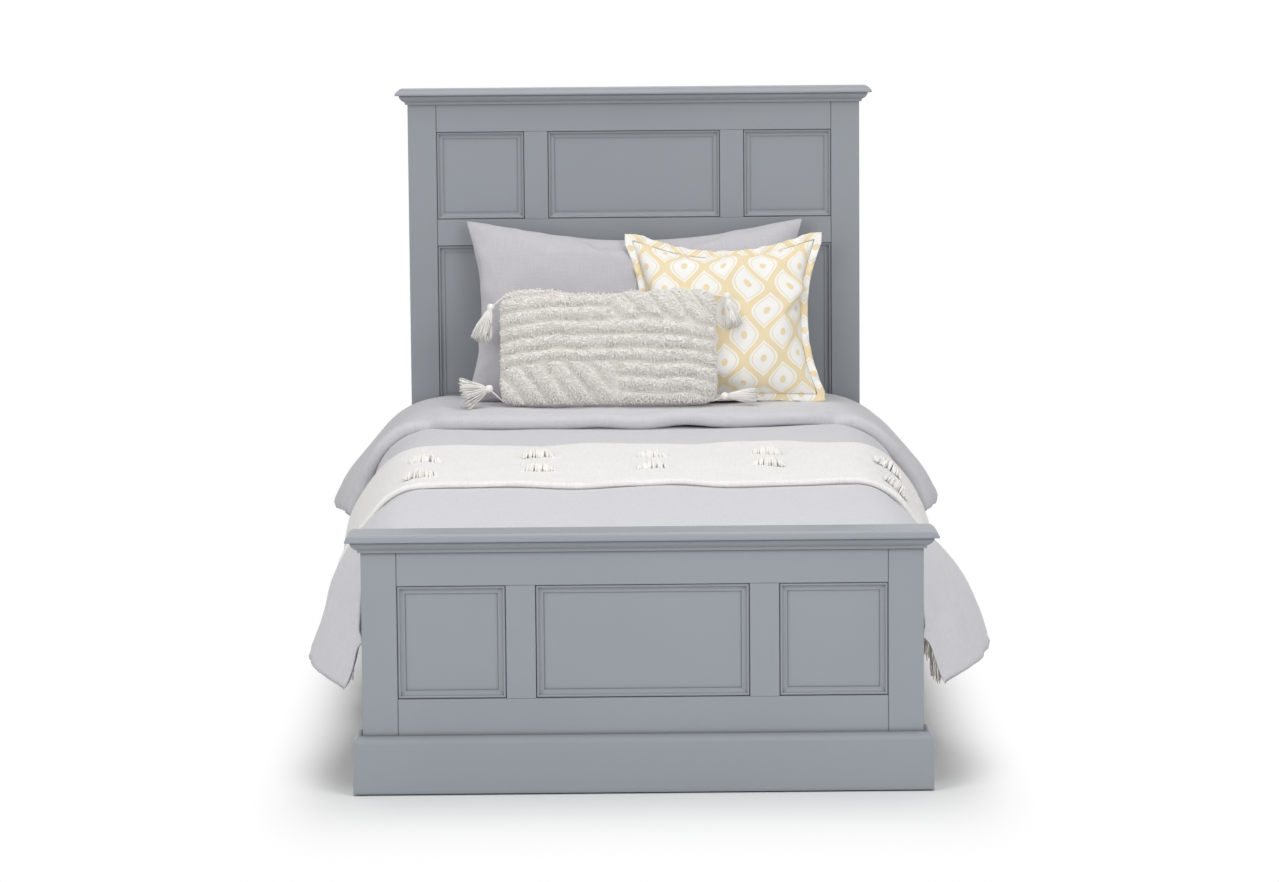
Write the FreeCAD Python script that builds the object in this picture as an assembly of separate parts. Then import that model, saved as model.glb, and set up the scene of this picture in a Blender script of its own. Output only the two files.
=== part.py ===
import FreeCAD, Part
import math
import os
from FreeCAD import Placement, Rotation, Vector

# A painted single panel bed with its mattress and bedding. All lengths are in millimetres.
# +X is the right-hand side seen from the foot, +Y runs from foot to head, +Z is up.
# The origin is on the floor, under the middle of the bed's overall length and width.

# Mattress and the room round it
mattress_width = 920.0
mattress_length = 1880.0
mattress_height = 220.0
mattress_corner = 55.0
mattress_edge = 24.0
side_gap = 10.0          # mattress to side rail
end_gap = 14.5           # mattress to posts, foot and head

# Whole boards
head_height = 1195.5
foot_height = 474.5
glide_height = 3.0
glide_radius = 14.0

# Posts, rails and muntins: one flush face, all towards the foot
post_width = 63.5
post_depth = 64.0
rail_setback = 10.0      # side rail's outer face, in from the post's outer face
frame_thickness = 28.0
top_rail_face = 61.5     # the height that shows below the crown
middle_rail_height = 59.0
head_bottom_rail_height = 112.0
foot_bottom_rail_floor = 40.0
muntin_width = 53.0
side_opening = 196.0
upper_opening_height = 195.5
lower_opening_height = 349.0
foot_opening_height = 205.5
upright_bevel = 1.25     # the V lines between posts and rails
edge_bevel = 0.8         # the finer lines along rails and muntins

# Panels and the beads round them
panel_recess = 10.0      # frame face to panel face
panel_thickness = 9.5
groove_depth = 8.0
groove_play = 0.25
panel_expansion = 1.0
bead_width = 14.5
bead_play = 0.4          # frame edge to bead
bead_height = 8.2

# Crown, cap and plinth
cap_thickness = 14.0
cap_overhang = 27.0
cap_lip = 3.5            # upright part of the nose; above it a slope runs up to the top
cap_nose = 11.5
cap_bulge = 1.1
cap_ease = 1.0
crown_height = 20.5
crown_projection = 18.0
crown_foot = 5.0
crown_fillet = 3.0
plinth_top = 107.0
plinth_thickness = 18.0
plinth_round = 14.5

# Side rails, ledges and slats
rail_thickness = 25.0
side_rail_top = 300.0
side_rail_height = 170.0
rail_round = 3.0
slat_depth_in_rail = 65.0   # top of the rail down to the top of the slats
ledge_width = 22.0
ledge_height = 30.0
ledge_end_gap = 12.0
slat_width = 70.0
slat_thickness = 18.0
slat_count = 13
slat_end_play = 3.0
strap_width = 25.0
strap_thickness = 1.2
strap_spacing = 560.0

# Tenons: rails into posts, and stub tenons of the muntins in the rails' grooves
tenon_length = 32.0
tenon_shoulder = 10.0
tenon_fit = 0.1
stub_play = 0.5

# Knock-down fittings at the four corners
bolt_radius = 4.0
bolt_in_post = 36.0
bolt_in_rail = 58.0
bolt_spacing = 84.0
bolt_play = 0.5
thread_fit = 0.05
pocket_radius = 16.0
pocket_depth = 20.0
pocket_from_end = 46.0
washer_thickness = 12.0
washer_play = 0.3
nut_across_flats = 13.0
nut_thickness = 6.5

# Bedding rests on what is below it with this much room
soft_gap = 0.3

# Duvet: the right-hand half of each section, as points out from the mattress's side and up
# from its top: the end of the flat top, the shoulder, half way down the side, and the hem
duvet_foot_gap = 0.3
duvet_head_gap = 8.0
duvet_foot = ((8.0, 17.7), (59.0, -16.3), (73.0, -125.3), (90.0, -274.3))
duvet_flare = ((-30.0, 25.7), (80.0, -24.3), (142.0, -143.3), (168.0, -243.3))
duvet_middle = ((-20.0, 29.7), (60.0, -3.3), (96.0, -75.3), (108.0, -250.3))
duvet_head = ((-30.0, 29.7), (60.0, -5.3), (105.0, -85.3), (136.0, -193.3))
fold_front = ((-55.0, 52.7), (96.0, -17.3), (144.0, -87.3), (164.0, -155.3))
fold_back = ((-55.0, 52.7), (100.0, -15.3), (168.0, -93.3), (219.0, -193.3))
inner_flat = -20.0       # the underside is flat at least as far as this
flare_at = 260.0         # from the foot end
fold_length = 460.0      # folded back from the head end
fold_roll = 12.0

# Throw across the duvet
throw_start = 466.0      # from the foot end of the mattress room
throw_width = 635.0
throw_thickness = 7.0
throw_gap = 0.4
throw_drop = 287.0       # mattress top to the start of the fringe
fringe_drop = 363.0
fringe_thickness = 4.0

# Pillow and cushions: width, height, and depth in front of and behind the seam.
# Draw is how far the top, the sides and the foot are pulled in; step is from one's lower
# edge to the next one's, along the bed
pillow_size = (754.0, 412.0, 40.0, 30.0)
pillow_draw = (44.0, 34.0, 5.0)
pillow_lean = 17.0
pillow_clear = 4.0
square_size = (438.0, 386.0, 52.0, 9.0)
square_draw = (36.0, 26.0, 4.0)
square_lean = 18.5
square_middle = 197.0
square_step = 56.0
square_flange = 16.0
flange_thickness = 3.0
lumbar_size = (486.0, 268.0, 44.0, 7.0)
lumbar_draw = 12.0
lumbar_lean = 21.0
lumbar_middle = -60.0
lumbar_step = 66.0
lumbar_bands = 7
band_rise = 4.5

# Tassels on the lumbar cushion: how far each starts from its corner, in tassel radii, and
# the way it hangs
tassel_length = 72.0
tassel_radius = 19.0
tassel_neck = 5.5
tassel_knot = 8.5
tassel_cord = 1.6
cord_inset = 3.0         # cord to the cushion's corner, up or down its end seam
tassel_hang = {(-1, 1): ((-0.74, -0.32, -1.47), (-0.3, -0.25, -0.92)),
               (1, 1): ((0.47, -0.63, -0.21), (0.4, -0.5, -0.77)),
               (1, -1): ((0.16, -0.1, 1.16), (1.0, -0.08, 0.02)),
               (-1, -1): ((-0.63, 0.0, 2.32), (-0.95, -0.1, -0.22))}

# Soft forms are made of short straight runs: how many to an arc, a side, a band or a corner
arc_steps = 4
side_steps = 8
band_steps = 4
corner_steps = 5
edge_steps = 3
tassel_sides = 12
flat_enough = 0.000001

# Worked out from the sizes above
inside_length = mattress_length + 2 * end_gap
half_width = mattress_width / 2 + side_gap + rail_thickness + rail_setback
half_opening = half_width - post_width
centre_opening = 2 * half_opening - 2 * side_opening - 2 * muntin_width
overall_length = cap_overhang + post_depth + inside_length + post_depth
foot_face = cap_overhang - overall_length / 2
foot_inner = foot_face + post_depth
head_face = foot_inner + inside_length
rail_outer = half_width - rail_setback
rail_inner = rail_outer - rail_thickness
frame_top = foot_height - cap_thickness
head_frame_top = head_height - cap_thickness
foot_opening_top = frame_top - crown_height - top_rail_face
foot_opening_floor = foot_opening_top - foot_opening_height
upper_opening_top = head_frame_top - crown_height - top_rail_face
upper_opening_floor = upper_opening_top - upper_opening_height
lower_opening_top = upper_opening_floor - middle_rail_height
lower_opening_floor = lower_opening_top - lower_opening_height
mattress_foot = foot_inner + end_gap
side_rail_floor = side_rail_top - side_rail_height
slat_top = side_rail_top - slat_depth_in_rail
mattress_floor = slat_top + soft_gap
mattress_top = mattress_floor + mattress_height
bolt_heights = [side_rail_floor + side_rail_height / 2 + side * bolt_spacing / 2 for side in (-1, 1)]
bolt_across = (rail_inner + rail_outer) / 2
sides = (("left", -1), ("right", 1))


def block(x_range, y_range, z_range):
    corner = Vector(min(x_range), min(y_range), min(z_range))
    return Part.makeBox(abs(x_range[1] - x_range[0]), abs(y_range[1] - y_range[0]),
                        abs(z_range[1] - z_range[0]), corner)


def rod(radius, start, end):
    along = Vector(*end) - Vector(*start)
    return Part.makeCylinder(radius, along.Length, Vector(*start), along)


def flat_face(points):
    vectors = [Vector(*point) for point in points]
    return Part.Face(Part.makePolygon(vectors + vectors[:1]))


def group(shapes):
    return Part.makeCompound(shapes)


def skinned(rings):
    """A solid of flat faces between rings of points, closed by its first and last ring."""
    faces = [flat_face(rings[0]), flat_face(rings[-1])]
    for near, far in zip(rings[:-1], rings[1:]):
        for number in range(len(near)):
            a, b = near[number - 1], near[number]
            c, d = far[number], far[number - 1]
            across = (b - a).cross(c - a).normalize()
            if abs(across.dot(d - a)) < flat_enough:
                faces.append(flat_face([a, b, c, d]))
            else:
                faces += [flat_face([a, b, c]), flat_face([a, c, d])]
    return Part.Solid(Part.Shell(faces))


def closed_face(edges):
    return Part.Face(Part.Wire(edges))


def line(start, end):
    return Part.LineSegment(Vector(*start), Vector(*end)).toShape()


def arc(start, middle, end):
    return Part.Arc(Vector(*start), Vector(*middle), Vector(*end)).toShape()


def upright(edge):
    return abs(edge.Vertexes[0].Z - edge.Vertexes[-1].Z) > 1.0


def bevelled(shape, face_y, size, pick):
    """Bevels those edges of the flush face that pick says yes to."""
    edges = []
    for edge in shape.Edges:
        if all(abs(vertex.Y - face_y) < 0.01 for vertex in edge.Vertexes) and pick(edge):
            edges.append(edge)
    return shape.makeChamfer(size, edges)


# Pieces of a board

def groove(x_range, face_y, z_range, play=groove_play):
    """Room for a panel or tenon: both lie in one plane behind the flush face."""
    back = face_y + panel_recess + panel_thickness
    return block(x_range, (face_y + panel_recess - play, back + play), z_range)


def post(side, face_y, top, openings, rails, bolts):
    """A square post, grooved for the panels, with a mortise for each rail."""
    inner = side * half_opening
    shape = block((inner, side * half_width), (face_y, face_y + post_depth), (glide_height, top))
    shape = bevelled(shape, face_y, upright_bevel, upright)
    cuts = []
    for low, high in openings:
        cuts.append(groove((inner, inner + side * groove_depth), face_y,
                           (low - groove_depth, high + groove_depth)))
    for low, high in rails:
        room = (low + tenon_shoulder - tenon_fit, high - tenon_shoulder + tenon_fit)
        cuts.append(groove((inner, inner + side * (tenon_length + stub_play)), face_y, room, tenon_fit))
    return shape.cut(cuts + bolts)


def board_rail(face_y, z_range, openings):
    """A rail with a tenon at each end, grooved along each edge that holds panels."""
    low, high = z_range
    shape = block((-half_opening, half_opening), (face_y, face_y + frame_thickness), z_range)
    shape = bevelled(shape, face_y, upright_bevel, upright)
    shape = bevelled(shape, face_y, edge_bevel, lambda edge: edge.Length > side_opening)
    cuts = []
    for floor_z, top_z in openings:
        if abs(low - top_z) < groove_play:
            cuts.append(groove((-half_opening, half_opening), face_y, (low, low + groove_depth)))
        if abs(high - floor_z) < groove_play:
            cuts.append(groove((-half_opening, half_opening), face_y, (high - groove_depth, high)))
    if cuts:
        shape = shape.cut(cuts)
    reach = half_opening + tenon_length
    tenons = groove((-reach, reach), face_y, (low + tenon_shoulder, high - tenon_shoulder), 0)
    return shape.fuse(tenons).removeSplitter()


def opening_spans():
    half_centre = centre_opening / 2
    return [(-half_opening, -half_opening + side_opening), (-half_centre, half_centre),
            (half_opening - side_opening, half_opening)]


def muntin(side, face_y, z_range):
    """An upright divider, grooved on both sides, with stub tenons in the rails' grooves."""
    middle = side * (centre_opening + muntin_width) / 2
    x_range = (middle - muntin_width / 2, middle + muntin_width / 2)
    shape = block(x_range, (face_y, face_y + frame_thickness), z_range)
    shape = bevelled(shape, face_y, edge_bevel, upright)
    shape = shape.cut([groove((edge_x, edge_x + into * groove_depth), face_y, z_range)
                       for edge_x, into in ((x_range[0], 1), (x_range[1], -1))])
    reach = groove_depth - stub_play
    stub = groove((x_range[0] + groove_depth, x_range[1] - groove_depth), face_y,
                  (z_range[0] - reach, z_range[1] + reach), 0)
    return shape.fuse(stub).removeSplitter()


def panel(face_y, span, z_range):
    """A flat panel that floats in the grooves all round its opening."""
    reach = groove_depth - panel_expansion
    return block((span[0] - reach, span[1] + reach),
                 (face_y + panel_recess, face_y + panel_recess + panel_thickness),
                 (z_range[0] - reach, z_range[1] + reach))


def bead_section():
    """Across a stick: a round by the frame, a hollow, and a small step down to the panel."""
    start = (bead_play, bead_height * 0.72)
    top = (bead_width * 0.2, bead_height)
    quirk = (bead_width * 0.38, bead_height * 0.76)
    hollow = (bead_width * 0.38, bead_height * 0.64)
    step = (bead_width * 0.9, bead_height * 0.24)
    edge = (bead_width, bead_height * 0.24)
    return [((bead_play, 0), start), (start, top, quirk), (quirk, hollow),
            (hollow, (bead_width * 0.58, bead_height * 0.34), step), (step, edge),
            (edge, (bead_width, 0)), ((bead_width, 0), (bead_play, 0))]


def section_face(section, place):
    """Turns a flat section of lines and arcs into a face, by a rule that places its points."""
    edges = []
    for points in section:
        placed = [place(*point) for point in points]
        edges.append(line(*placed) if len(placed) == 2 else arc(*placed))
    return closed_face(edges)


def bead_frame(face_y, span, z_range):
    """Four mitred sticks round an opening, lying on the panel."""
    panel_y = face_y + panel_recess
    low_x, high_x = span
    low_z, high_z = z_range
    section = bead_section()
    width = high_x - low_x
    height = high_z - low_z
    sticks = []
    for edge_z, turn in ((low_z, 1), (high_z, -1)):
        face = section_face(section, lambda u, w, e=edge_z, t=turn: (low_x, panel_y - w, e + t * u))
        mitre = flat_face([(low_x, panel_y, edge_z), (high_x, panel_y, edge_z),
                           (high_x - bead_width, panel_y, edge_z + turn * bead_width),
                           (low_x + bead_width, panel_y, edge_z + turn * bead_width)])
        bounds = mitre.extrude(Vector(0, -bead_height - 1, 0))
        sticks.append(face.extrude(Vector(width, 0, 0)).common(bounds))
    for edge_x, turn in ((low_x, 1), (high_x, -1)):
        face = section_face(section, lambda u, w, e=edge_x, t=turn: (e + t * u, panel_y - w, low_z))
        mitre = flat_face([(edge_x, panel_y, low_z), (edge_x, panel_y, high_z),
                           (edge_x + turn * bead_width, panel_y, high_z - bead_width),
                           (edge_x + turn * bead_width, panel_y, low_z + bead_width)])
        bounds = mitre.extrude(Vector(0, -bead_height - 1, 0))
        sticks.append(face.extrude(Vector(0, 0, height)).common(bounds))
    return group(sticks)


# Crown, cap and plinth run along the front and return round both ends

def crown_section():
    """A hollow under the cap: o is out from the post's face, z is up from its lower edge."""
    top = (crown_projection, crown_height - crown_fillet)
    knee = (crown_foot + 1.0, crown_height * 0.26)
    hollow = ((knee[0] + top[0]) / 2 + 1.2, (knee[1] + top[1]) / 2 - 1.2)
    return [((0, 0), (crown_foot, 0)), ((crown_foot, 0), knee), (knee, hollow, top),
            (top, (crown_projection, crown_height)),
            ((crown_projection, crown_height), (0, crown_height)), ((0, crown_height), (0, 0))]


def plinth_section():
    plinth_height = plinth_top - glide_height
    start = plinth_height - plinth_round
    flat = plinth_thickness - plinth_round
    turn = plinth_round * (1 - math.sqrt(0.5))
    return [((0, 0), (plinth_thickness, 0)),
            ((plinth_thickness, 0), (plinth_thickness, start)),
            ((plinth_thickness, start), (plinth_thickness - turn, plinth_height - turn),
             (flat, plinth_height)),
            ((flat, plinth_height), (0, plinth_height)),
            ((0, plinth_height), (0, 0))]


def wrapped_moulding(section, reach, height, face_y, floor_z):
    """A front stick and two returns with mitred corners, round the outside of the posts."""
    back_y = face_y + post_depth
    tip = reach + 1
    front = section_face(section, lambda o, z: (-half_width - tip, face_y - o, floor_z + z))
    front = front.extrude(Vector(2 * half_width + 2 * tip, 0, 0))
    keep = flat_face([(-half_width, face_y, floor_z), (half_width, face_y, floor_z),
                      (half_width + tip, face_y - tip, floor_z),
                      (-half_width - tip, face_y - tip, floor_z)])
    sticks = [front.common(keep.extrude(Vector(0, 0, height)))]
    for name, side in sides:
        edge = side * half_width
        stick = section_face(section, lambda o, z: (edge + side * o, face_y - tip, floor_z + z))
        stick = stick.extrude(Vector(0, post_depth + tip, 0))
        keep = flat_face([(edge, face_y, floor_z), (edge, back_y, floor_z),
                          (edge + side * tip, back_y, floor_z),
                          (edge + side * tip, face_y - tip, floor_z)])
        sticks.append(stick.common(keep.extrude(Vector(0, 0, height))))
    return sticks


def cap(face_y, floor_z):
    """One board, moulded along the front and both ends, where two outlines cross."""
    front = face_y - cap_overhang
    back = face_y + post_depth
    end = half_width + cap_overhang
    top = floor_z + cap_thickness
    lip = floor_z + cap_lip
    bulge_height = (lip + top) / 2 + cap_bulge

    def nose(edge, inward):
        bulge = edge + inward * (cap_nose / 2 - cap_bulge)
        return [((edge + inward * cap_ease, floor_z), (edge, floor_z + cap_ease)),
                ((edge, floor_z + cap_ease), (edge, lip)),
                ((edge, lip), (bulge, bulge_height), (edge + inward * cap_nose, top))]

    def other_way(section):
        return [tuple(reversed(points)) for points in reversed(section)]

    along = nose(front, 1) + [((front + cap_nose, top), (back, top)), ((back, top), (back, floor_z)),
                              ((back, floor_z), (front + cap_ease, floor_z))]
    across = nose(-end, 1) + [((-end + cap_nose, top), (end - cap_nose, top))]
    across += other_way(nose(end, -1)) + [((end - cap_ease, floor_z), (-end + cap_ease, floor_z))]
    lengthways = section_face(along, lambda y, z: (-end, y, z)).extrude(Vector(2 * end, 0, 0))
    crossways = section_face(across, lambda x, z: (x, front, z)).extrude(Vector(0, back - front, 0))
    return lengthways.common(crossways)


# Knock-down fittings: a hanger bolt in the post, a half-moon washer and a nut in the rail

def corner_ends():
    """Each end of each side rail: side, where the post's face is, and the way into the rail."""
    ends = []
    for name, side in sides:
        ends.append((side, foot_inner, 1))
        ends.append((side, head_face, -1))
    return ends


def bolt_rods(radius, start, end, ends):
    """Rods along the bed at every bolt, from start to end, measured into the rail."""
    rods = []
    for side, face_y, inward in ends:
        for height in bolt_heights:
            rods.append(rod(radius, (side * bolt_across, face_y + inward * start, height),
                            (side * bolt_across, face_y + inward * end, height)))
    return rods


def washer_flat(face_y, inward):
    return face_y + inward * (pocket_from_end - (pocket_radius - washer_play) * 0.3)


def half_moon_washer(side, face_y, inward, height):
    """Part of a thick disc that fills the near end of the pocket, with a hole for the bolt."""
    radius = pocket_radius - washer_play
    centre = Vector(side * bolt_across - washer_thickness / 2, face_y + inward * pocket_from_end, height)
    disc = Part.makeCylinder(radius, washer_thickness, centre, Vector(1, 0, 0))
    flat_y = washer_flat(face_y, inward)
    keep = block((centre.x, centre.x + washer_thickness), (face_y, flat_y),
                 (height - radius, height + radius))
    hole = rod(bolt_radius + bolt_play, (side * bolt_across, face_y, height),
               (side * bolt_across, flat_y + inward * radius, height))
    return disc.common(keep).cut(hole)


def hex_nut(side, face_y, inward, height):
    start_y = washer_flat(face_y, inward)
    corner = nut_across_flats / math.sqrt(3)
    points = []
    for number in range(6):
        angle = math.radians(60 * number + 30)
        points.append((side * bolt_across + corner * math.cos(angle), start_y,
                       height + corner * math.sin(angle)))
    nut = flat_face(points).extrude(Vector(0, inward * nut_thickness, 0))
    bore = rod(bolt_radius + thread_fit, (side * bolt_across, face_y, height),
               (side * bolt_across, face_y + inward * bolt_in_rail * 2, height))
    return nut.cut(bore)


def side_rail(side):
    """A side rail, with its bolt bores and the round pockets for washers and nuts."""
    shape = block((side * rail_inner, side * rail_outer), (foot_inner, head_face),
                  (side_rail_floor, side_rail_top))
    long_edges = [edge for edge in shape.Edges if edge.Length > inside_length - 1]
    shape = shape.makeFillet(rail_round, long_edges)
    ends = [end for end in corner_ends() if end[0] == side]
    cuts = bolt_rods(bolt_radius + bolt_play, 0, pocket_from_end, ends)
    for own_side, face_y, inward in ends:
        for height in bolt_heights:
            centre_y = face_y + inward * pocket_from_end
            cuts.append(rod(pocket_radius, (side * rail_inner, centre_y, height),
                            (side * (rail_inner + pocket_depth), centre_y, height)))
    return shape.cut(cuts)


# Soft pieces

def chain(points, direction, grow=0.0):
    """Points on arcs that each run on smoothly from the last, moved outwards by grow."""
    heading = Vector(direction[0], 0, direction[1])
    moved = []
    for start, end in zip(points[:-1], points[1:]):
        near = Vector(start[0], 0, start[1])
        chord = Vector(end[0], 0, end[1]) - near
        turn = math.atan2(heading.x * chord.z - heading.z * chord.x, heading.dot(chord))
        for step in range(1 if moved else 0, arc_steps + 1):
            share = step / arc_steps
            reach = math.sin(turn * share) / math.sin(turn) if turn else share
            way = spun(heading, 2 * turn * share)
            on_arc = near + spun(heading, turn * share) * (chord.Length * reach)
            moved.append(on_arc + Vector(-way.z, 0, way.x) * grow)
        heading = spun(heading, 2 * turn)
    return moved


def spun(vector, angle):
    """Turns a vector in the X and Z plane."""
    return Vector(vector.x * math.cos(angle) - vector.z * math.sin(angle), 0,
                  vector.x * math.sin(angle) + vector.z * math.cos(angle))


def drape_ring(outer, inner, y):
    """A closed section across the bed from the right-hand halves of its two faces."""
    right = [Vector(point.x, y, point.z) for point in outer + inner[::-1]]
    return right + [Vector(-point.x, y, point.z) for point in right[::-1]]


def blend(first, second, share):
    return tuple(tuple(a + (b - a) * share for a, b in zip(p, q)) for p, q in zip(first, second))


def placed(shape):
    return [(mattress_width / 2 + out, mattress_top + up) for out, up in shape]


def duvet_section(shape, y):
    """One section: the top and sides as given, and the underside on the mattress."""
    thickness = shape[0][1] - soft_gap
    points = placed(shape)
    outer = chain(points, (1, 0))
    moved = chain(points, (1, 0), -thickness)
    inner_points = placed([(max(inner_flat, shape[0][0]), soft_gap)])
    inner_points += [(point.x, point.z) for point in moved[arc_steps::arc_steps]]
    return drape_ring(outer, chain(inner_points, (1, 0)), y)


def duvet():
    """Laid over the mattress, flared at the foot, and folded back at the head."""
    start = foot_inner + duvet_foot_gap
    end = head_face - duvet_head_gap
    flare = start + flare_at
    flat_start = foot_inner + throw_start
    flat_end = flat_start + throw_width
    fold = end - fold_length
    stations = [(start, duvet_foot)]
    stations.append(((start + flare) / 2, blend(duvet_foot, duvet_flare, 0.6)))
    stations += [(flare, duvet_flare), (flat_start, duvet_middle), (flat_end, duvet_middle)]
    stations.append((fold, duvet_head))
    stations.append((fold + fold_roll * 0.3, blend(duvet_head, fold_front, 0.75)))
    stations += [(fold + fold_roll, fold_front), (end, fold_back)]
    return skinned([duvet_section(shape, y) for y, shape in stations])


def throw():
    """A folded blanket over the duvet, down both sides to its fringe."""
    outer = chain(placed(duvet_middle), (1, 0), throw_gap + throw_thickness)
    inner = chain(placed(duvet_middle), (1, 0), throw_gap)
    throw_bottom = mattress_top - throw_drop
    fringe_bottom = mattress_top - fringe_drop
    start = foot_inner + throw_start
    body = flat_face(drape_ring(outer, inner, start)).extrude(Vector(0, throw_width, 0))
    hems = []
    for name, side in sides:
        inner_x = inner[-1].x
        outer_x = outer[-1].x
        fringe_x = inner_x + (throw_thickness + fringe_thickness) / 2
        profile = flat_face([(side * inner_x, start, inner[-1].z),
                             (side * outer_x, start, outer[-1].z),
                             (side * outer_x, start, throw_bottom),
                             (side * fringe_x, start, throw_bottom - fringe_thickness),
                             (side * fringe_x, start, fringe_bottom),
                             (side * (fringe_x - fringe_thickness), start, fringe_bottom),
                             (side * (fringe_x - fringe_thickness), start,
                              throw_bottom - fringe_thickness),
                             (side * inner_x, start, throw_bottom)])
        hems.append(profile.extrude(Vector(0, throw_width, 0)))
    return body.fuse(hems).removeSplitter()


def mattress_outline(inset, height):
    half_x = mattress_width / 2 - inset
    half_y = mattress_length / 2 - inset
    radius = mattress_corner - inset
    points = []
    for quarter, (side, end) in enumerate(((1, 1), (-1, 1), (-1, -1), (1, -1))):
        middle_x = side * (half_x - radius)
        middle_y = mattress_foot + mattress_length / 2 + end * (half_y - radius)
        for step in range(corner_steps + 1):
            angle = math.pi / 2 * (quarter + step / corner_steps)
            points.append(Vector(middle_x + radius * math.cos(angle),
                                 middle_y + radius * math.sin(angle), height))
    return points


def mattress():
    """Rounded corners, and top and bottom edges rounded in a few flats."""
    angles = [math.pi / 2 * step / edge_steps for step in range(edge_steps + 1)]
    rounds = [(mattress_edge * (1 - math.sin(a)), mattress_edge * (1 - math.cos(a))) for a in angles]
    rings = [mattress_outline(inset, mattress_floor + rise) for inset, rise in rounds]
    rings += [mattress_outline(inset, mattress_top - rise) for inset, rise in rounds[::-1]]
    return skinned(rings)


def bow(start, middle, end, steps):
    """Points from start to just before end, on a shallow curve through middle."""
    found = []
    for step in range(steps):
        share = step / steps
        found.append(Vector(*start) * ((1 - share) * (1 - 2 * share))
                     + Vector(*middle) * (4 * share * (1 - share))
                     + Vector(*end) * (share * (2 * share - 1)))
    return found


def cushion_outline(width, height, draw, scale, depth):
    """Four drawn-in sides at one depth; they round out towards the cushion's crown."""
    top_draw, side_draw, foot_draw = draw
    half = width / 2 * scale
    low = height / 2 * (1 - scale)
    high = height - low
    curve = scale ** 2 - 0.75 * scale * (1 - scale) - 0.02
    middle = height / 2
    top_in = top_draw * curve
    side_in = side_draw * curve
    foot_in = foot_draw * curve
    corners = [(-half, depth, low), (half, depth, low), (half, depth, high), (-half, depth, high)]
    mids = [(0, depth, low + foot_in), (half - side_in, depth, middle), (0, depth, high - top_in),
            (-half + side_in, depth, middle)]
    points = []
    for number in range(4):
        points += bow(corners[number], mids[number], corners[(number + 1) % 4], side_steps)
    return points


def cushion_levels(front, back):
    """Scale and depth of each outline, from the crown in front through the seam to the back."""
    def swell(scale):
        return (1 - scale ** 2.2) ** 0.72

    levels = [(scale, -front * swell(scale)) for scale in (0.25, 0.5, 0.75, 0.9, 0.97)]
    return levels + [(1.0, 0.0)] + [(scale, back * swell(scale)) for scale in (0.95, 0.75, 0.4)]


def plump_cushion(size, draw):
    width, height, front, back = size
    return skinned([cushion_outline(width, height, draw, scale, depth)
                    for scale, depth in cushion_levels(front, back)])


def flanged_cushion(size, draw, flange):
    """A plump cushion inside a flat flange of cloth."""
    width, height, front, back = size
    pad = plump_cushion((width - 2 * flange, height - 2 * flange, front, back), draw)
    pad.translate(Vector(0, 0, flange))
    rim = flat_face(cushion_outline(width, height, draw, 1.0, -flange_thickness / 2))
    return pad.fuse(rim.extrude(Vector(0, flange_thickness, 0)))


def banded_section(x, height, front, back, rise):
    """One section across a cushion whose front is worked in raised bands."""
    def depth(share):
        return -front * (1 - abs(2 * share - 1) ** 2.4) ** 0.6

    points = []
    for number in range(lumbar_bands):
        low, middle, high = [(number + part) / lumbar_bands for part in (0, 0.5, 1)]
        points += bow((x, depth(low), height * low), (x, depth(middle) - rise, height * middle),
                      (x, depth(high), height * high), band_steps)
    return points + bow((x, 0, height), (x, back, height / 2), (x, 0, 0), side_steps)


def banded_cushion(size, draw):
    """Bands run across the width and close up towards the seams at the ends."""
    width, height, front, back = size
    rings = []
    for share in (-1, -0.9, -0.5, 0.5, 0.9, 1):
        swell = max(0.12, (1 - abs(share) ** 3.2) ** 0.6)
        lower = height - draw * (1 - share ** 2)
        rings.append(banded_section(width / 2 * share, lower, front * swell, back * swell,
                                    band_rise * (0.25 + 0.75 * swell)))
    return skinned(rings)


def stood(shape, place):
    turned = shape.copy()
    turned.Placement = place
    return turned


def cushion_places():
    """Where each cushion stands on the fold, leaning back towards the head of the bed."""
    pillow_y = head_face - cap_overhang - pillow_clear
    pillow_y -= pillow_size[1] * math.sin(math.radians(pillow_lean))
    square_y = pillow_y - square_step
    rest = mattress_top + fold_back[0][1] + soft_gap
    flange_drop = flange_thickness / 2 * math.sin(math.radians(square_lean))
    leaning = ((0, pillow_y, rest, pillow_lean),
               (square_middle, square_y, rest + flange_drop, square_lean),
               (lumbar_middle, square_y - lumbar_step, rest, lumbar_lean))
    return [Placement(Vector(x, y, z), Rotation(Vector(1, 0, 0), -lean)) for x, y, z, lean in leaning]


def tassel(anchor, start, direction):
    """A cord from the cushion's corner to a knot, a bound neck and a skirt of threads."""
    levels = ((tassel_cord, 0), (tassel_knot, tassel_knot), (tassel_neck, tassel_knot * 2),
              (tassel_radius * 0.75, tassel_knot * 3.5), (tassel_radius, tassel_length))
    angles = [2 * math.pi * step / tassel_sides for step in range(tassel_sides)]
    shape = skinned([[Vector(radius * math.cos(a), radius * math.sin(a), down) for a in angles]
                     for radius, down in levels])
    shape.Placement = Placement(start, Rotation(Vector(0, 0, 1), Vector(*direction)))
    inside = start + Vector(*direction).normalize() * tassel_knot
    return shape.fuse(rod(tassel_cord, anchor, inside)).removeSplitter()


# The whole bed, one entry for each named piece

def headboard():
    rails = {"top_rail": (upper_opening_top, head_frame_top),
             "middle_rail": (lower_opening_top, upper_opening_floor),
             "bottom_rail": (lower_opening_floor - head_bottom_rail_height, lower_opening_floor)}
    openings = {"upper_": (upper_opening_floor, upper_opening_top),
                "lower_": (lower_opening_floor, lower_opening_top)}
    return board("headboard", head_face, head_frame_top, rails, openings)


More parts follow.
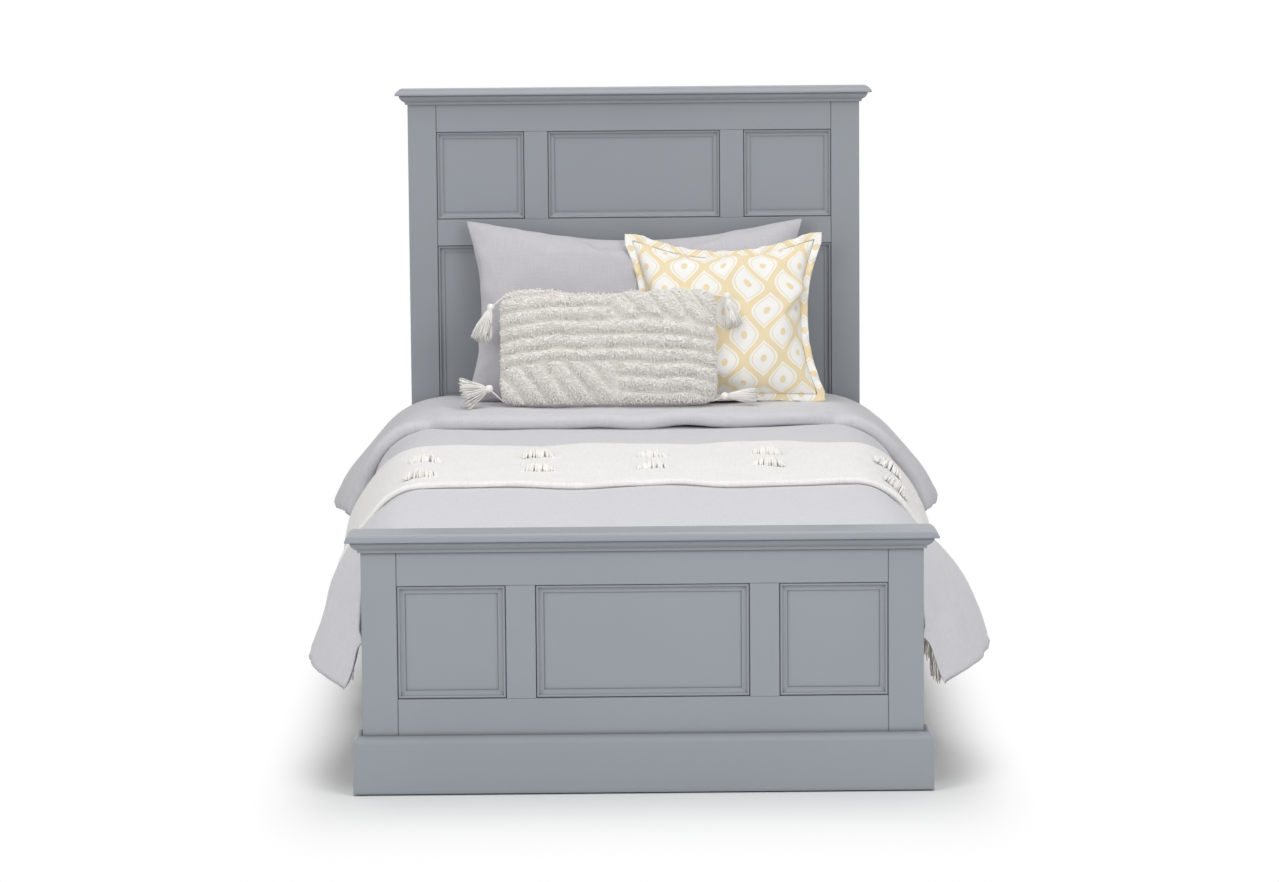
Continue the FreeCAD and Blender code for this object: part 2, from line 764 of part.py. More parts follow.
def footboard():
    rails = {"top_rail": (foot_opening_top, frame_top),
             "bottom_rail": (foot_bottom_rail_floor, foot_opening_floor)}
    openings = {"": (foot_opening_floor, foot_opening_top)}
    pieces = board("footboard", foot_face, frame_top, rails, openings)
    plinth = wrapped_moulding(plinth_section(), plinth_thickness, plinth_top, foot_face, glide_height)
    pieces["plinth_front"], pieces["plinth_return_left"], pieces["plinth_return_right"] = plinth
    return pieces


def board(name, face_y, top, rails, openings):
    """Posts, rails, muntins, panels, beads, crown and cap of one end of the bed."""
    pieces = {}
    for word, side in sides:
        ends = [end for end in corner_ends() if end[0] == side]
        bolts = bolt_rods(bolt_radius + thread_fit, -bolt_in_post, 0, ends)
        pieces[name + "_post_" + word] = post(side, face_y, top, openings.values(), rails.values(),
                                              bolts)
    for word, z_range in rails.items():
        pieces[name + "_" + word] = board_rail(face_y, z_range, openings.values())
    for level, z_range in openings.items():
        for word, side in sides:
            pieces[name + "_" + level + "muntin_" + word] = muntin(side, face_y, z_range)
        for word, span in zip(("left", "centre", "right"), opening_spans()):
            pieces[name + "_" + level + "panel_" + word] = panel(face_y, span, z_range)
            pieces[name + "_" + level + "bead_" + word] = bead_frame(face_y, span, z_range)
    crown = wrapped_moulding(crown_section(), crown_projection, crown_height, face_y,
                             top - crown_height)
    pieces[name + "_crown"] = group(crown)
    pieces[name + "_cap"] = cap(face_y, top)
    return pieces


def base():
    """Side rails, ledges, slats, their straps, the corner fittings and the glides."""
    pieces = {}
    for word, side in sides:
        pieces["side_rail_" + word] = side_rail(side)
        ledge_top = slat_top - slat_thickness
        pieces["slat_ledge_" + word] = block((side * rail_inner, side * (rail_inner - ledge_width)),
                                             (foot_inner + ledge_end_gap, head_face - ledge_end_gap),
                                             (ledge_top - ledge_height, ledge_top))
    reach = rail_inner - slat_end_play
    pitch = (mattress_length - slat_width) / (slat_count - 1)
    slats = []
    for number in range(slat_count):
        start = mattress_foot + pitch * number
        slats.append(block((-reach, reach), (start, start + slat_width),
                           (slat_top - slat_thickness, slat_top)))
    pieces["slats"] = group(slats)
    strap_top = slat_top - slat_thickness
    straps = []
    for name, side in sides:
        middle = side * strap_spacing / 2
        straps.append(block((middle - strap_width / 2, middle + strap_width / 2),
                            (mattress_foot, mattress_foot + mattress_length),
                            (strap_top - strap_thickness, strap_top)))
    pieces["slat_straps"] = group(straps)
    pieces["hanger_bolts"] = group(bolt_rods(bolt_radius, -bolt_in_post, bolt_in_rail, corner_ends()))
    places = [(end, height) for end in corner_ends() for height in bolt_heights]
    pieces["half_moon_washers"] = group([half_moon_washer(*end, height) for end, height in places])
    pieces["rail_nuts"] = group([hex_nut(*end, height) for end, height in places])
    glides = []
    for name, side in sides:
        for y in (foot_face + post_depth / 2, head_face + post_depth / 2):
            middle = side * (half_width - post_width / 2)
            glides.append(rod(glide_radius, (middle, y, 0), (middle, y, glide_height)))
    pieces["floor_glides"] = group(glides)
    return pieces


def bedding():
    """Mattress, duvet, throw, pillow and two cushions, each resting on the one below."""
    pillow_place, square_place, lumbar_place = cushion_places()
    width, height = lumbar_size[:2]
    tassels = []
    for (side, level), (offset, direction) in tassel_hang.items():
        corner = Vector(side * width / 2, 0, height * (level + 1) / 2)
        seam = corner + Vector(side * (soft_gap + tassel_cord), -tassel_cord, -level * cord_inset)
        start = lumbar_place.multVec(corner) + Vector(*offset) * tassel_radius
        tassels.append(tassel(lumbar_place.multVec(seam), start, direction))
    pieces = {"mattress": mattress(), "duvet": duvet(), "throw": throw()}
    pieces["pillow"] = stood(plump_cushion(pillow_size, pillow_draw), pillow_place)
    square = flanged_cushion(square_size, square_draw, square_flange)
    pieces["square_cushion"] = stood(square, square_place)
    pieces["lumbar_cushion"] = stood(banded_cushion(lumbar_size, lumbar_draw), lumbar_place)
    pieces["lumbar_tassels"] = group(tassels)
    return pieces


def main():
    os.makedirs("parts", exist_ok=True)
    pieces = {}
    for part in (headboard(), footboard(), base(), bedding()):
        pieces.update(part)
    for name, shape in pieces.items():
        shape.exportStep("parts/" + name + ".step")
    print(len(pieces), "pieces, overall length", overall_length, "width", 2 * half_width)


main()
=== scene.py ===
import math

import bpy
import numpy as np
from mathutils import Matrix, Vector


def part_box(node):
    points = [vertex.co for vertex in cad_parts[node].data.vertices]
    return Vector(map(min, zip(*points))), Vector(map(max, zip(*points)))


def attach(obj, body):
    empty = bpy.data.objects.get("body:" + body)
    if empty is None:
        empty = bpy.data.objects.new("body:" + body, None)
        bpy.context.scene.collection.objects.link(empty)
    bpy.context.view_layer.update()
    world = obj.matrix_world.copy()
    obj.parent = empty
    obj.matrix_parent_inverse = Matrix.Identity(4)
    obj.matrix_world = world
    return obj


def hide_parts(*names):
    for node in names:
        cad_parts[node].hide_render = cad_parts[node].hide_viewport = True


# Panel bed, made up. Metres, +X right seen from the foot, +Y foot to head, +Z up.
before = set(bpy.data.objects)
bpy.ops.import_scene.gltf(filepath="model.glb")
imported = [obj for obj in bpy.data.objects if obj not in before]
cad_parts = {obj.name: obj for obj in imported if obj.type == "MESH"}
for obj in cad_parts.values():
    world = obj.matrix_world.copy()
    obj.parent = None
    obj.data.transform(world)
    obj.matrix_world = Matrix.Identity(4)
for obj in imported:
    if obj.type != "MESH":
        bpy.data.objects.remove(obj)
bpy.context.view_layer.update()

camera = {
    "lens": 118.81,                          # long lens, some eight metres back
    "place": (-0.04362, -8.49102, 1.53896),
    "yaw": 0.00542, "pitch": 0.11985, "roll": -0.00818,   # radians
}


def placeCamera(settings):
    # turn right by yaw, down by pitch, then about the line of sight by roll
    yaw, pitch, roll = settings["yaw"], settings["pitch"], settings["roll"]
    ahead = Vector((math.sin(yaw) * math.cos(pitch), math.cos(yaw) * math.cos(pitch), -math.sin(pitch)))
    level = Vector((math.cos(yaw), -math.sin(yaw), 0.0))
    up = level.cross(ahead)
    right = level * math.cos(roll) + up * math.sin(roll)
    top = up * math.cos(roll) - level * math.sin(roll)
    data = bpy.data.cameras.new("camera")
    data.lens = settings["lens"]
    data.clip_start, data.clip_end = 0.1, 100.0
    made = bpy.data.objects.new("camera", data)
    bpy.context.scene.collection.objects.link(made)
    columns = [right, top, -ahead]
    made.matrix_world = Matrix([[c[i] for c in columns] + [settings["place"][i]] for i in range(3)]
                               + [[0, 0, 0, 1]])
    bpy.context.scene.camera = made


placeCamera(camera)
print("camera placed")


def colour(text):
    # sRGB hex to linear
    parts = [int(text[i:i + 2], 16) / 255 for i in (0, 2, 4)]
    return tuple(p / 12.92 if p <= 0.04045 else ((p + 0.055) / 1.055) ** 2.4 for p in parts) + (1.0,)


def addNode(tree, kind, settings=None, **inputs):
    # settings are the node's own properties; inputs go by socket name, or i0, i1 by place
    node = tree.nodes.new(kind)
    for key, value in (settings or {}).items():
        setattr(node, key, value)
    for key, value in inputs.items():
        place = int(key[1:]) if key[0] == "i" and key[1:].isdigit() else key.replace("_", " ")
        if isinstance(value, bpy.types.NodeSocket):
            tree.links.new(value, node.inputs[place])
        else:
            node.inputs[place].default_value = value
    return node


def newMaterial(name, **shaderValues):
    material = bpy.data.materials.new(name)
    material.use_nodes = True
    tree = material.node_tree
    tree.nodes.clear()
    shader = addNode(tree, "ShaderNodeBsdfPrincipled", None, **shaderValues)
    addNode(tree, "ShaderNodeOutputMaterial", None, Surface=shader.outputs["BSDF"])
    return material, tree, shader


def finishSurface(tree, shader, share, colours, height, strength, reliefMm):
    # base colour: from the first to the second of two hex values by share; relief: a bump of height
    mix = addNode(tree, "ShaderNodeMix", {"data_type": "RGBA"}, i0=share, i6=colour(colours[0]),
                  i7=colour(colours[1]))
    bump = addNode(tree, "ShaderNodeBump", None, Height=height, Strength=strength, Distance=reliefMm / 1000)
    tree.links.new(mix.outputs[2], shader.inputs["Base Color"])
    tree.links.new(bump.outputs[0], shader.inputs["Normal"])
    return mix.outputs[2]


paint = {"colours": ("8D9298", "959AA0"), "peelMm": 2.4, "cloudMm": 400.0, "quirkMm": 9.0,
         "paintedShadeInQuirk": 0.42}


def sprayedPaint():
    # satin lacquer sprayed on board and solid wood: even colour, broad soft gloss, faint orange peel, with
    # painted shade in the quirks
    material, tree, shader = newMaterial("sprayedSatinLacquer")
    place = addNode(tree, "ShaderNodeTexCoord").outputs["Object"]
    cloud = addNode(tree, "ShaderNodeTexNoise", None, Vector=place, Scale=1000 / paint["cloudMm"],
                    Detail=2.0)
    peel = addNode(tree, "ShaderNodeTexNoise", None, Vector=place, Scale=1000 / paint["peelMm"], Detail=1.0)
    colours = finishSurface(tree, shader, cloud.outputs[0], paint["colours"], peel.outputs[0], 0.06, 0.4)
    # painted shade: the colour is darkened where ambient occlusion finds nearby surfaces, in quirks,
    # V-lines and under mouldings
    openness = addNode(tree, "ShaderNodeAmbientOcclusion", {"samples": 6}, Distance=paint["quirkMm"] / 1000)
    # painted shade strength: the colour falls to 0.42 of itself in the deepest quirks and stays full in the
    # open
    depth = addNode(tree, "ShaderNodeMapRange", None, Value=openness.outputs["AO"], i1=0.35, i2=0.95,
                    i3=paint["paintedShadeInQuirk"])
    shadedInQuirks = addNode(tree, "ShaderNodeVectorMath", {"operation": "SCALE"}, i0=colours,
                       Scale=depth.outputs[0])
    tree.links.new(shadedInQuirks.outputs[0], shader.inputs["Base Color"])
    sheen = addNode(tree, "ShaderNodeMapRange", None, Value=cloud.outputs[0], i3=0.36, i4=0.46)
    tree.links.new(sheen.outputs[0], shader.inputs["Roughness"])
    return material


pine = {"colours": ("D9B88A", "B98A55"), "ringMm": 7.0, "stretch": 0.06}


def planedPine(name, along):
    # planed softwood left bare: straight pale grain with darker late wood, nearly no gloss
    material, tree, shader = newMaterial(name, Roughness=0.62)
    place = addNode(tree, "ShaderNodeTexCoord").outputs["Object"]
    scale = [1.0, 1.0, 1.0]
    scale[along] = pine["stretch"]
    grain = addNode(tree, "ShaderNodeMapping", None, Vector=place, Scale=scale)
    wander = addNode(tree, "ShaderNodeTexNoise", None, Vector=grain.outputs[0], Scale=14.0, Detail=3.0)
    rings = addNode(tree, "ShaderNodeTexNoise", None, Vector=grain.outputs[0],
                    Scale=1000 / pine["ringMm"], Detail=4.0, Distortion=0.4)
    both = addNode(tree, "ShaderNodeMath", {"operation": "MULTIPLY"}, i0=wander.outputs[0],
                   i1=rings.outputs[0])
    share = addNode(tree, "ShaderNodeMapRange", None, Value=both.outputs[0], i1=0.12, i2=0.42)
    finishSurface(tree, shader, share.outputs[0], pine["colours"], rings.outputs[0], 0.15, 0.6)
    return material


def wovenWebbing():
    # flat polypropylene tape: close ribs across, a dull shine
    material, tree, shader = newMaterial("wovenPolypropyleneTape", Roughness=0.7)
    place = addNode(tree, "ShaderNodeTexCoord").outputs["Object"]
    ribs = addNode(tree, "ShaderNodeTexWave", {"bands_direction": "Y"}, Vector=place, Scale=90.0,
                   Distortion=0.6)
    finishSurface(tree, shader, ribs.outputs[1], ("CFCBC0", "E6E3DA"), ribs.outputs[1], 0.5, 0.5)
    return material


def zincPlate():
    # bright zinc on turned steel: bluish metal, broken up by the plating's fine spangle
    material, tree, shader = newMaterial("zincPlatedSteel", Metallic=1.0, Roughness=0.34)
    place = addNode(tree, "ShaderNodeTexCoord").outputs["Object"]
    spangle = addNode(tree, "ShaderNodeTexNoise", None, Vector=place, Scale=260.0, Detail=2.0)
    mix = addNode(tree, "ShaderNodeMix", {"data_type": "RGBA"}, i0=spangle.outputs[0],
                  i6=colour("A9AEB4"), i7=colour("C6CACE"))
    tree.links.new(mix.outputs[2], shader.inputs["Base Color"])
    rough = addNode(tree, "ShaderNodeMapRange", None, Value=spangle.outputs[0], i3=0.26, i4=0.42)
    tree.links.new(rough.outputs[0], shader.inputs["Roughness"])
    return material


def mouldedGlide():
    # moulded polyethylene foot: near black, fine spark-eroded grain
    material, tree, shader = newMaterial("mouldedPolyethylene", Roughness=0.5)
    place = addNode(tree, "ShaderNodeTexCoord").outputs["Object"]
    grit = addNode(tree, "ShaderNodeTexNoise", None, Vector=place, Scale=900.0)
    finishSurface(tree, shader, grit.outputs[0], ("18191B", "26282B"), grit.outputs[0], 0.2, 0.3)
    return material


def weaveHeight(tree, uv, threadMm):
    # plain weave: sin(across) times sin(along), one crossing every two threads
    apart = addNode(tree, "ShaderNodeSeparateXYZ", None, Vector=uv)
    waves = []
    for axis in (0, 1):
        turned = addNode(tree, "ShaderNodeMath", {"operation": "MULTIPLY"}, i0=apart.outputs[axis],
                         i1=math.pi * 1000 / threadMm)
        waves.append(addNode(tree, "ShaderNodeMath", {"operation": "SINE"}, i0=turned.outputs[0]))
    crossed = addNode(tree, "ShaderNodeMath", {"operation": "MULTIPLY"}, i0=waves[0].outputs[0],
                      i1=waves[1].outputs[0])
    return addNode(tree, "ShaderNodeMapRange", None, Value=crossed.outputs[0], i1=-1.0, i2=1.0).outputs[0]


def slubShare(tree, uv, lengthMm, widthMm):
    # uneven yarn: noise drawn out along the thread, one set for each direction, then averaged
    found = []
    for scale in ((1000 / lengthMm, 1000 / widthMm, 1.0), (1000 / widthMm, 1000 / lengthMm, 1.0)):
        drawn = addNode(tree, "ShaderNodeMapping", None, Vector=uv, Scale=scale)
        found.append(addNode(tree, "ShaderNodeTexNoise", None, Vector=drawn.outputs[0], Scale=1.0,
                             Detail=2.0).outputs[0])
    summed = addNode(tree, "ShaderNodeMath", {"operation": "ADD"}, i0=found[0], i1=found[1])
    return addNode(tree, "ShaderNodeMapRange", None, Value=summed.outputs[0], i1=0.7, i2=1.3).outputs[0]


def wovenCotton(name, colours, threadMm, reliefMm, slub=(45.0, 1.6)):
    # washed cotton in plain weave: matt, slubby, a little bloom at grazing angles
    material, tree, shader = newMaterial(name, Roughness=0.88)
    shader.inputs["Sheen Weight"].default_value = 0.25
    shader.inputs["Sheen Roughness"].default_value = 0.5
    uv = addNode(tree, "ShaderNodeTexCoord").outputs["UV"]
    weave = weaveHeight(tree, uv, threadMm)
    yarn = slubShare(tree, uv, *slub)
    mixed = addNode(tree, "ShaderNodeMath", {"operation": "MULTIPLY_ADD"}, i0=weave, i1=0.25, i2=yarn)
    finishSurface(tree, shader, mixed.outputs[0], colours, mixed.outputs[0], 0.6, reliefMm)
    return material, tree, shader, uv, mixed.outputs[0]


def spunYarn(name, colours):
    # loose cotton yarn: matt, streaked by its fibres
    material, tree, shader = newMaterial(name, Roughness=0.95)
    shader.inputs["Sheen Weight"].default_value = 0.35
    place = addNode(tree, "ShaderNodeTexCoord").outputs["Object"]
    fibre = addNode(tree, "ShaderNodeTexNoise", None, Vector=place, Scale=420.0, Detail=3.0)
    finishSurface(tree, shader, fibre.outputs[0], colours, fibre.outputs[0], 0.5, 0.8)
    return material


lacquer = sprayedPaint()
pineAcross = planedPine("planedPineAcross", 0)
pineAlong = planedPine("planedPineAlong", 1)
webbing = wovenWebbing()
zinc = zincPlate()
glidePlastic = mouldedGlide()
# threads are about 0.4 mm in life; drawn at 1.6 mm and up so that they show
lilacCotton = wovenCotton("washedCottonLilac", ("C9C8CD", "D3D2D6"), 1.6, 0.5)[0]
greyCotton = wovenCotton("washedCottonGrey", ("BCBABF", "C7C5CA"), 1.6, 0.5)[0]
throwCotton = wovenCotton("raisedCottonCream", ("E9E8E5", "F3F2F0"), 3.2, 1.2, (60.0, 4.0))[0]
tickingCotton = wovenCotton("damaskTicking", ("DAD8D2", "E8E6E1"), 2.4, 0.6)[0]
creamYarn = spunYarn("spunYarnCream", ("E6E2D9", "F6F3ED"))
tuftYarn = spunYarn("spunYarnWhite", ("ECEAE4", "FAF8F5"))
print("materials made")

# every node of the frame that isn't named here is painted
finishes = {"slats": pineAcross, "slat_ledge_left": pineAlong, "slat_ledge_right": pineAlong,
            "slat_straps": webbing, "hanger_bolts": zinc, "half_moon_washers": zinc, "rail_nuts": zinc,
            "floor_glides": glidePlastic}
for node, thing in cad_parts.items():
    thing.data.materials.clear()
    thing.data.materials.append(finishes.get(node, lacquer))


def softNoise(a, b, size, seed, waves=14):
    # a sum of sine waves of one rough length in random directions: a smooth field of about -1 to 1
    random = np.random.default_rng(seed)
    total = np.zeros(np.broadcast(a, b).shape)
    for _ in range(waves):
        turn = random.uniform(0, 2 * math.pi)
        length = size * random.uniform(0.7, 1.6)
        total = total + np.sin((a * math.cos(turn) + b * math.sin(turn)) * 2 * math.pi / length
                               + random.uniform(0, 2 * math.pi))
    return total / math.sqrt(waves)


def easeIn(value, start, end):
    # 0 before start, 1 after end, smooth between
    share = np.clip((value - start) / (end - start), 0, 1)
    return share * share * (3 - 2 * share)


def roundedEdge(distance, radius):
    # height of a quarter circle standing on the edge: 0 at the edge, 1 from radius inwards
    share = 1 - np.clip(distance / radius, 0, 1)
    return np.sqrt(np.clip(1 - share * share, 0, 1))


def edgeSpaced(count, start, end, power=0.72):
    # count values from start to end, closer together near both ends
    share = np.linspace(-1, 1, count)
    share = np.sign(share) * (1 - (1 - np.abs(share)) ** (1 / power))
    share = share / np.abs(share).max()
    return start + (end - start) * (share + 1) / 2


def gridNormals(points):
    # unit normal at each grid point: the step down the rows crossed with the step along them
    down = np.gradient(points, axis=0)
    over = np.gradient(points, axis=1)
    normal = np.cross(down, over)
    return normal / np.maximum(np.linalg.norm(normal, axis=2, keepdims=True), 1e-12)


def quads(index):
    # one quad for each cell of a grid of vertex numbers
    return np.stack([index[:-1, :-1], index[1:, :-1], index[1:, 1:], index[:-1, 1:]], -1).reshape(-1, 4)


def newPiece(name, points, faces, material, body, uv=None, replaced=()):
    # a smooth-shaded mesh at the origin that moves with body and stands for the replaced nodes
    mesh = bpy.data.meshes.new(name)
    points = np.asarray(points, np.float32)
    faces = np.asarray(faces, np.int32)
    sides = faces.shape[1]
    mesh.vertices.add(len(points))
    mesh.vertices.foreach_set("co", points.ravel())
    mesh.loops.add(faces.size)
    mesh.loops.foreach_set("vertex_index", faces.ravel())
    mesh.polygons.add(len(faces))
    mesh.polygons.foreach_set("loop_start", np.arange(0, faces.size, sides, dtype=np.int32))
    mesh.polygons.foreach_set("use_smooth", np.ones(len(faces), bool))
    mesh.update(calc_edges=True)
    if uv is not None:
        layer = mesh.uv_layers.new(name="cloth")
        layer.data.foreach_set("uv", np.asarray(uv, np.float32)[faces.ravel()].ravel())
    mesh.materials.append(material)
    made = bpy.data.objects.new(name, mesh)
    bpy.context.scene.collection.objects.link(made)
    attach(made, body)
    if replaced:
        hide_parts(*replaced)
    print(name, len(points), "points")
    return made


def faceCells(rows, columns):
    # vertex numbers of the front face's grid, and of the back face's, which shares the rim
    number = np.arange(rows * columns).reshape(rows, columns)
    under = number.copy()
    inside = np.arange((rows - 2) * (columns - 2)).reshape(rows - 2, columns - 2)
    under[1:-1, 1:-1] = rows * columns + inside
    return number, under


def puffedShell(middle, half):
    # two faces, half a thickness each side of a middle surface, that share its rim
    normal = gridNormals(middle)
    front = middle + normal * half[..., None]
    back = (middle - normal * half[..., None])[1:-1, 1:-1]
    rim = np.ones(half.shape, bool)
    rim[1:-1, 1:-1] = False
    front[rim] = middle[rim]
    number, under = faceCells(*half.shape)
    points = np.concatenate([front.reshape(-1, 3), back.reshape(-1, 3)])
    faces = np.concatenate([quads(number), quads(under)[:, ::-1]])
    return points, faces


def shellMap(first, second):
    # the same flat coordinates for both faces of a puffed shell
    front = np.stack([first, second], -1)
    return np.concatenate([front.reshape(-1, 2), front[1:-1, 1:-1].reshape(-1, 2)])


def strands(paths, radii, sides=5):
    # tubes along many paths at once: a ring of points square to each path, closed to a point at its ends
    paths = np.asarray(paths, float)
    count, steps, _ = paths.shape
    along = np.gradient(paths, axis=1)
    along /= np.maximum(np.linalg.norm(along, axis=2, keepdims=True), 1e-12)
    guide = np.where(np.abs(along[..., 2:3]) > 0.9, np.array([1.0, 0.0, 0.0]), np.array([0.0, 0.0, 1.0]))
    first = np.cross(along, guide)
    first /= np.maximum(np.linalg.norm(first, axis=2, keepdims=True), 1e-12)
    second = np.cross(along, first)
    turn = np.arange(sides) * 2 * math.pi / sides
    radii = np.broadcast_to(radii, (count, steps))[..., None, None]
    ring = paths[:, :, None] + radii * (first[:, :, None] * np.cos(turn)[:, None]
                                        + second[:, :, None] * np.sin(turn)[:, None])
    number = np.arange(count * steps * sides).reshape(count, steps, sides)
    nextOne = np.roll(number, -1, axis=2)
    faces = np.stack([number[:, :-1], nextOne[:, :-1], nextOne[:, 1:], number[:, 1:]], -1).reshape(-1, 4)
    points = ring.reshape(-1, 3)
    start = len(points) + np.arange(count)
    end = start + count
    caps = [np.stack([np.repeat(start[:, None], sides, 1), nextOne[:, 0], number[:, 0]], -1).reshape(-1, 3),
            np.stack([np.repeat(end[:, None], sides, 1), number[:, -1], nextOne[:, -1]], -1).reshape(-1, 3)]
    caps = np.concatenate(caps)
    caps = np.concatenate([caps, caps[:, :1]], 1)
    points = np.concatenate([points, paths[:, 0], paths[:, -1]])
    return points, faces, caps


def strandPiece(name, paths, radii, material, body, sides=5):
    points, faces, caps = strands(paths, radii, sides)
    triangles = np.concatenate([faces[:, [0, 1, 2]], faces[:, [0, 2, 3]], caps[:, :3]])
    return newPiece(name, points, triangles, material, body)


# Duvet sections across: the right-hand half of the top face as points out from the mattress's side and
# up from its top: end of the flat top, shoulder, half way down, hem
duvet = {
    "side": 0.460, "top": 0.4553,
    "foot": -0.9405, "head": 0.9595,
    "sections": {
        -0.9407: ((-25, 17.7), (33, -22.3), (52, -125.3), (86, -276.3)),
        -0.8107: ((-34, 22.5), (50, -19.1), (104.4, -136.1), (136.8, -262.7)),
        -0.6807: ((-42, 25.7), (58, -18.3), (134, -143.3), (170, -247.3)),
        -0.4750: ((-44, 29.7), (38, -11.3), (80, -75.3), (104, -250.3)),
        0.1600: ((-26, 29.7), (60, -5.3), (108, -75.3), (124, -250.3)),
        0.5000: ((-30, 29.7), (60, -5.3), (105, -85.3), (136, -193.3)),
        0.9600: ((-55, 29.7), (82, -30.3), (146, -112.3), (192, -205.3)),
    },
    "half": 0.0125,          # half the filling's thickness
    "sideFolds": 0.008, "foldLength": 0.27, "flatTo": 0.44,
    "pull": 0.036, "pullAt": -0.69, "pullWidth": 0.15,
    "pinches": (0.085, 0.125, 0.235), "pinchDepth": 0.009, "pinchWidth": 0.011, "pinchSlope": 0.25,
    "thinCorner": 0.85,
}
foldBack = {
    "front": 0.500, "back": 0.9597,
    "sections": {
        0.5000: ((-55, 52.7), (96, -17.3), (144, -87.3), (164, -155.3)),
        0.9600: ((-55, 52.7), (100, -15.3), (168, -93.3), (219, -193.3)),
    },
    "half": 0.0118, "bow": 0.016, "wander": 0.004,
    "tuckDepth": 0.020, "tucks": ((-0.452, 0.028), (0.428, 0.030)),
    "rollAt": 0.026, "rollWidth": 0.040, "furrow": 0.008,
}


def sectionAt(y, sections):
    # the sections' points, read at each y by smooth steps between one section and the next
    stations = np.array(sorted(sections))
    table = np.array([sections[key] for key in sorted(sections)], float) / 1000
    place = np.clip(np.searchsorted(stations, y) - 1, 0, len(stations) - 2)
    share = np.clip((y - stations[place]) / (stations[place + 1] - stations[place]), 0, 1)
    share = (share * share * (3 - 2 * share) * 0.5 + share * 0.5)[:, None, None]
    return table[place] * (1 - share) + table[place + 1] * share


def acrossRight(y, sections, flatCount, arcCount):
    # flat top, then arcs that each start in the direction in which the last one ended:
    # a chord turned by a share of its angle, as long as sin(share) over sin(whole)
    points = sectionAt(y, sections) + np.array([duvet["side"], duvet["top"]])
    start = points[:, 0]
    flat = np.linspace(0, 1, flatCount)[None, :, None] * start[:, None]
    flat[..., 1] = start[:, None, 1]
    runs = [flat]
    heading = np.tile([1.0, 0.0], (len(y), 1))
    for number in range(3):
        chord = points[:, number + 1] - points[:, number]
        size = np.linalg.norm(chord, axis=1)
        turn = np.arctan2(heading[:, 0] * chord[:, 1] - heading[:, 1] * chord[:, 0],
                          (heading * chord).sum(1))
        share = np.linspace(0, 1, arcCount + 1)[1:]
        angle = turn[:, None] * share
        reach = size[:, None] * np.sin(angle) / np.sin(np.where(np.abs(turn) < 1e-6, 1e-6, turn))[:, None]
        over = heading[:, None, 0] * np.cos(angle) - heading[:, None, 1] * np.sin(angle)
        up = heading[:, None, 0] * np.sin(angle) + heading[:, None, 1] * np.cos(angle)
        runs.append(points[:, None, number] + np.stack([over, up], -1) * reach[..., None])
        heading = np.stack([heading[:, 0] * np.cos(2 * turn) - heading[:, 1] * np.sin(2 * turn),
                            heading[:, 0] * np.sin(2 * turn) + heading[:, 1] * np.cos(2 * turn)], -1)
    return np.concatenate(runs, 1)


def acrossBoth(y, sections, flatCount=16, arcCount=15):
    # both halves: (rows, columns, 3) points, the signed run along the section, and the outward way
    right = acrossRight(y, sections, flatCount, arcCount)
    step = np.linalg.norm(np.diff(right, axis=1), axis=2)
    run = np.concatenate([np.zeros((len(y), 1)), np.cumsum(step, 1)], 1)
    left = right[:, :0:-1] * np.array([-1, 1])
    both = np.concatenate([left, right], 1)
    run = np.concatenate([-run[:, :0:-1], run], 1)
    tangent = np.gradient(both, axis=1)
    tangent /= np.maximum(np.linalg.norm(tangent, axis=2, keepdims=True), 1e-12)
    outward = np.stack([-tangent[..., 1], np.zeros(run.shape), tangent[..., 0]], -1)
    along = np.broadcast_to(np.asarray(y)[:, None], run.shape)
    return np.stack([both[..., 0], along, both[..., 1]], -1), run, outward


def duvetSwell(run, y):
    # how far the duvet's face stands from its plain section: slow puffs on top, soft folds that
    # grow down the sides, and short gathers along the hem
    down = np.clip(np.abs(run) - duvet["flatTo"], 0, None)
    side = np.sign(run)
    top = 0.0026 * softNoise(run, y, 0.34, 3) + 0.0010 * softNoise(run * 0.8, y * 1.4, 0.12, 4)
    growth = easeIn(down, 0.06, 0.30)
    phase = y * 2 * math.pi / duvet["foldLength"] + side * 0.9 + 1.1 * np.sin(y * 5.3 + side)
    folds = duvet["sideFolds"] * growth * np.sin(phase + down * 3.0)
    small = 0.0022 * growth * softNoise(run * 0.35, y, 0.07, 11)
    # by the foot the right-hand side is pulled farther out than the left
    near = np.exp(-((y - duvet["pullAt"]) / duvet["pullWidth"]) ** 2)
    pulled = duvet["pull"] * (side > 0) * easeIn(down, 0.08, 0.30) * near
    return top + folds + small + pulled


def makeDuvet():
    # the sections carried along the bed, plus swell, gathers and pinches square to them
    y = edgeSpaced(230, duvet["foot"], duvet["head"])
    face, run, outward = acrossBoth(y, duvet["sections"])
    depth = np.broadcast_to(y[:, None], run.shape)
    edge = np.abs(run).max(1)[:, None] - np.abs(run)
    ends = np.minimum(depth - duvet["foot"], duvet["head"] - depth)
    gathers = 0.0012 * np.exp(-edge / 0.03) * softNoise(depth, run * 0.2, 0.022, 5)
    # near the foot the hanging part is pinched in three short creases that run out from the post
    fromFoot = depth - duvet["foot"]
    down = np.abs(run) - duvet["flatTo"]
    creases = sum(np.exp(-((down - place + duvet["pinchSlope"] * fromFoot) / duvet["pinchWidth"]) ** 2)
                  for place in duvet["pinches"])
    pinch = -duvet["pinchDepth"] * np.exp(-(fromFoot / 0.075) ** 2) * creases
    # the outer cloth keeps the section's line to the hem; the inner one rises to meet it
    half = duvet["half"] * roundedEdge(edge, 0.030) * roundedEdge(ends, 0.022)
    # the corner at the foot hangs flat, with little filling in it
    corner = np.exp(-(fromFoot / 0.13) ** 2) * easeIn(down, 0.06, 0.26)
    half = half * (1 - duvet["thinCorner"] * corner) + 0.0006
    middle = face + outward * (duvetSwell(run, depth) + gathers + pinch - half)[..., None]
    points, faces = puffedShell(middle, half)
    made = newPiece("duvetBody", points, faces, lilacCotton, "duvet",
                    shellMap(run, depth), ["duvet"])


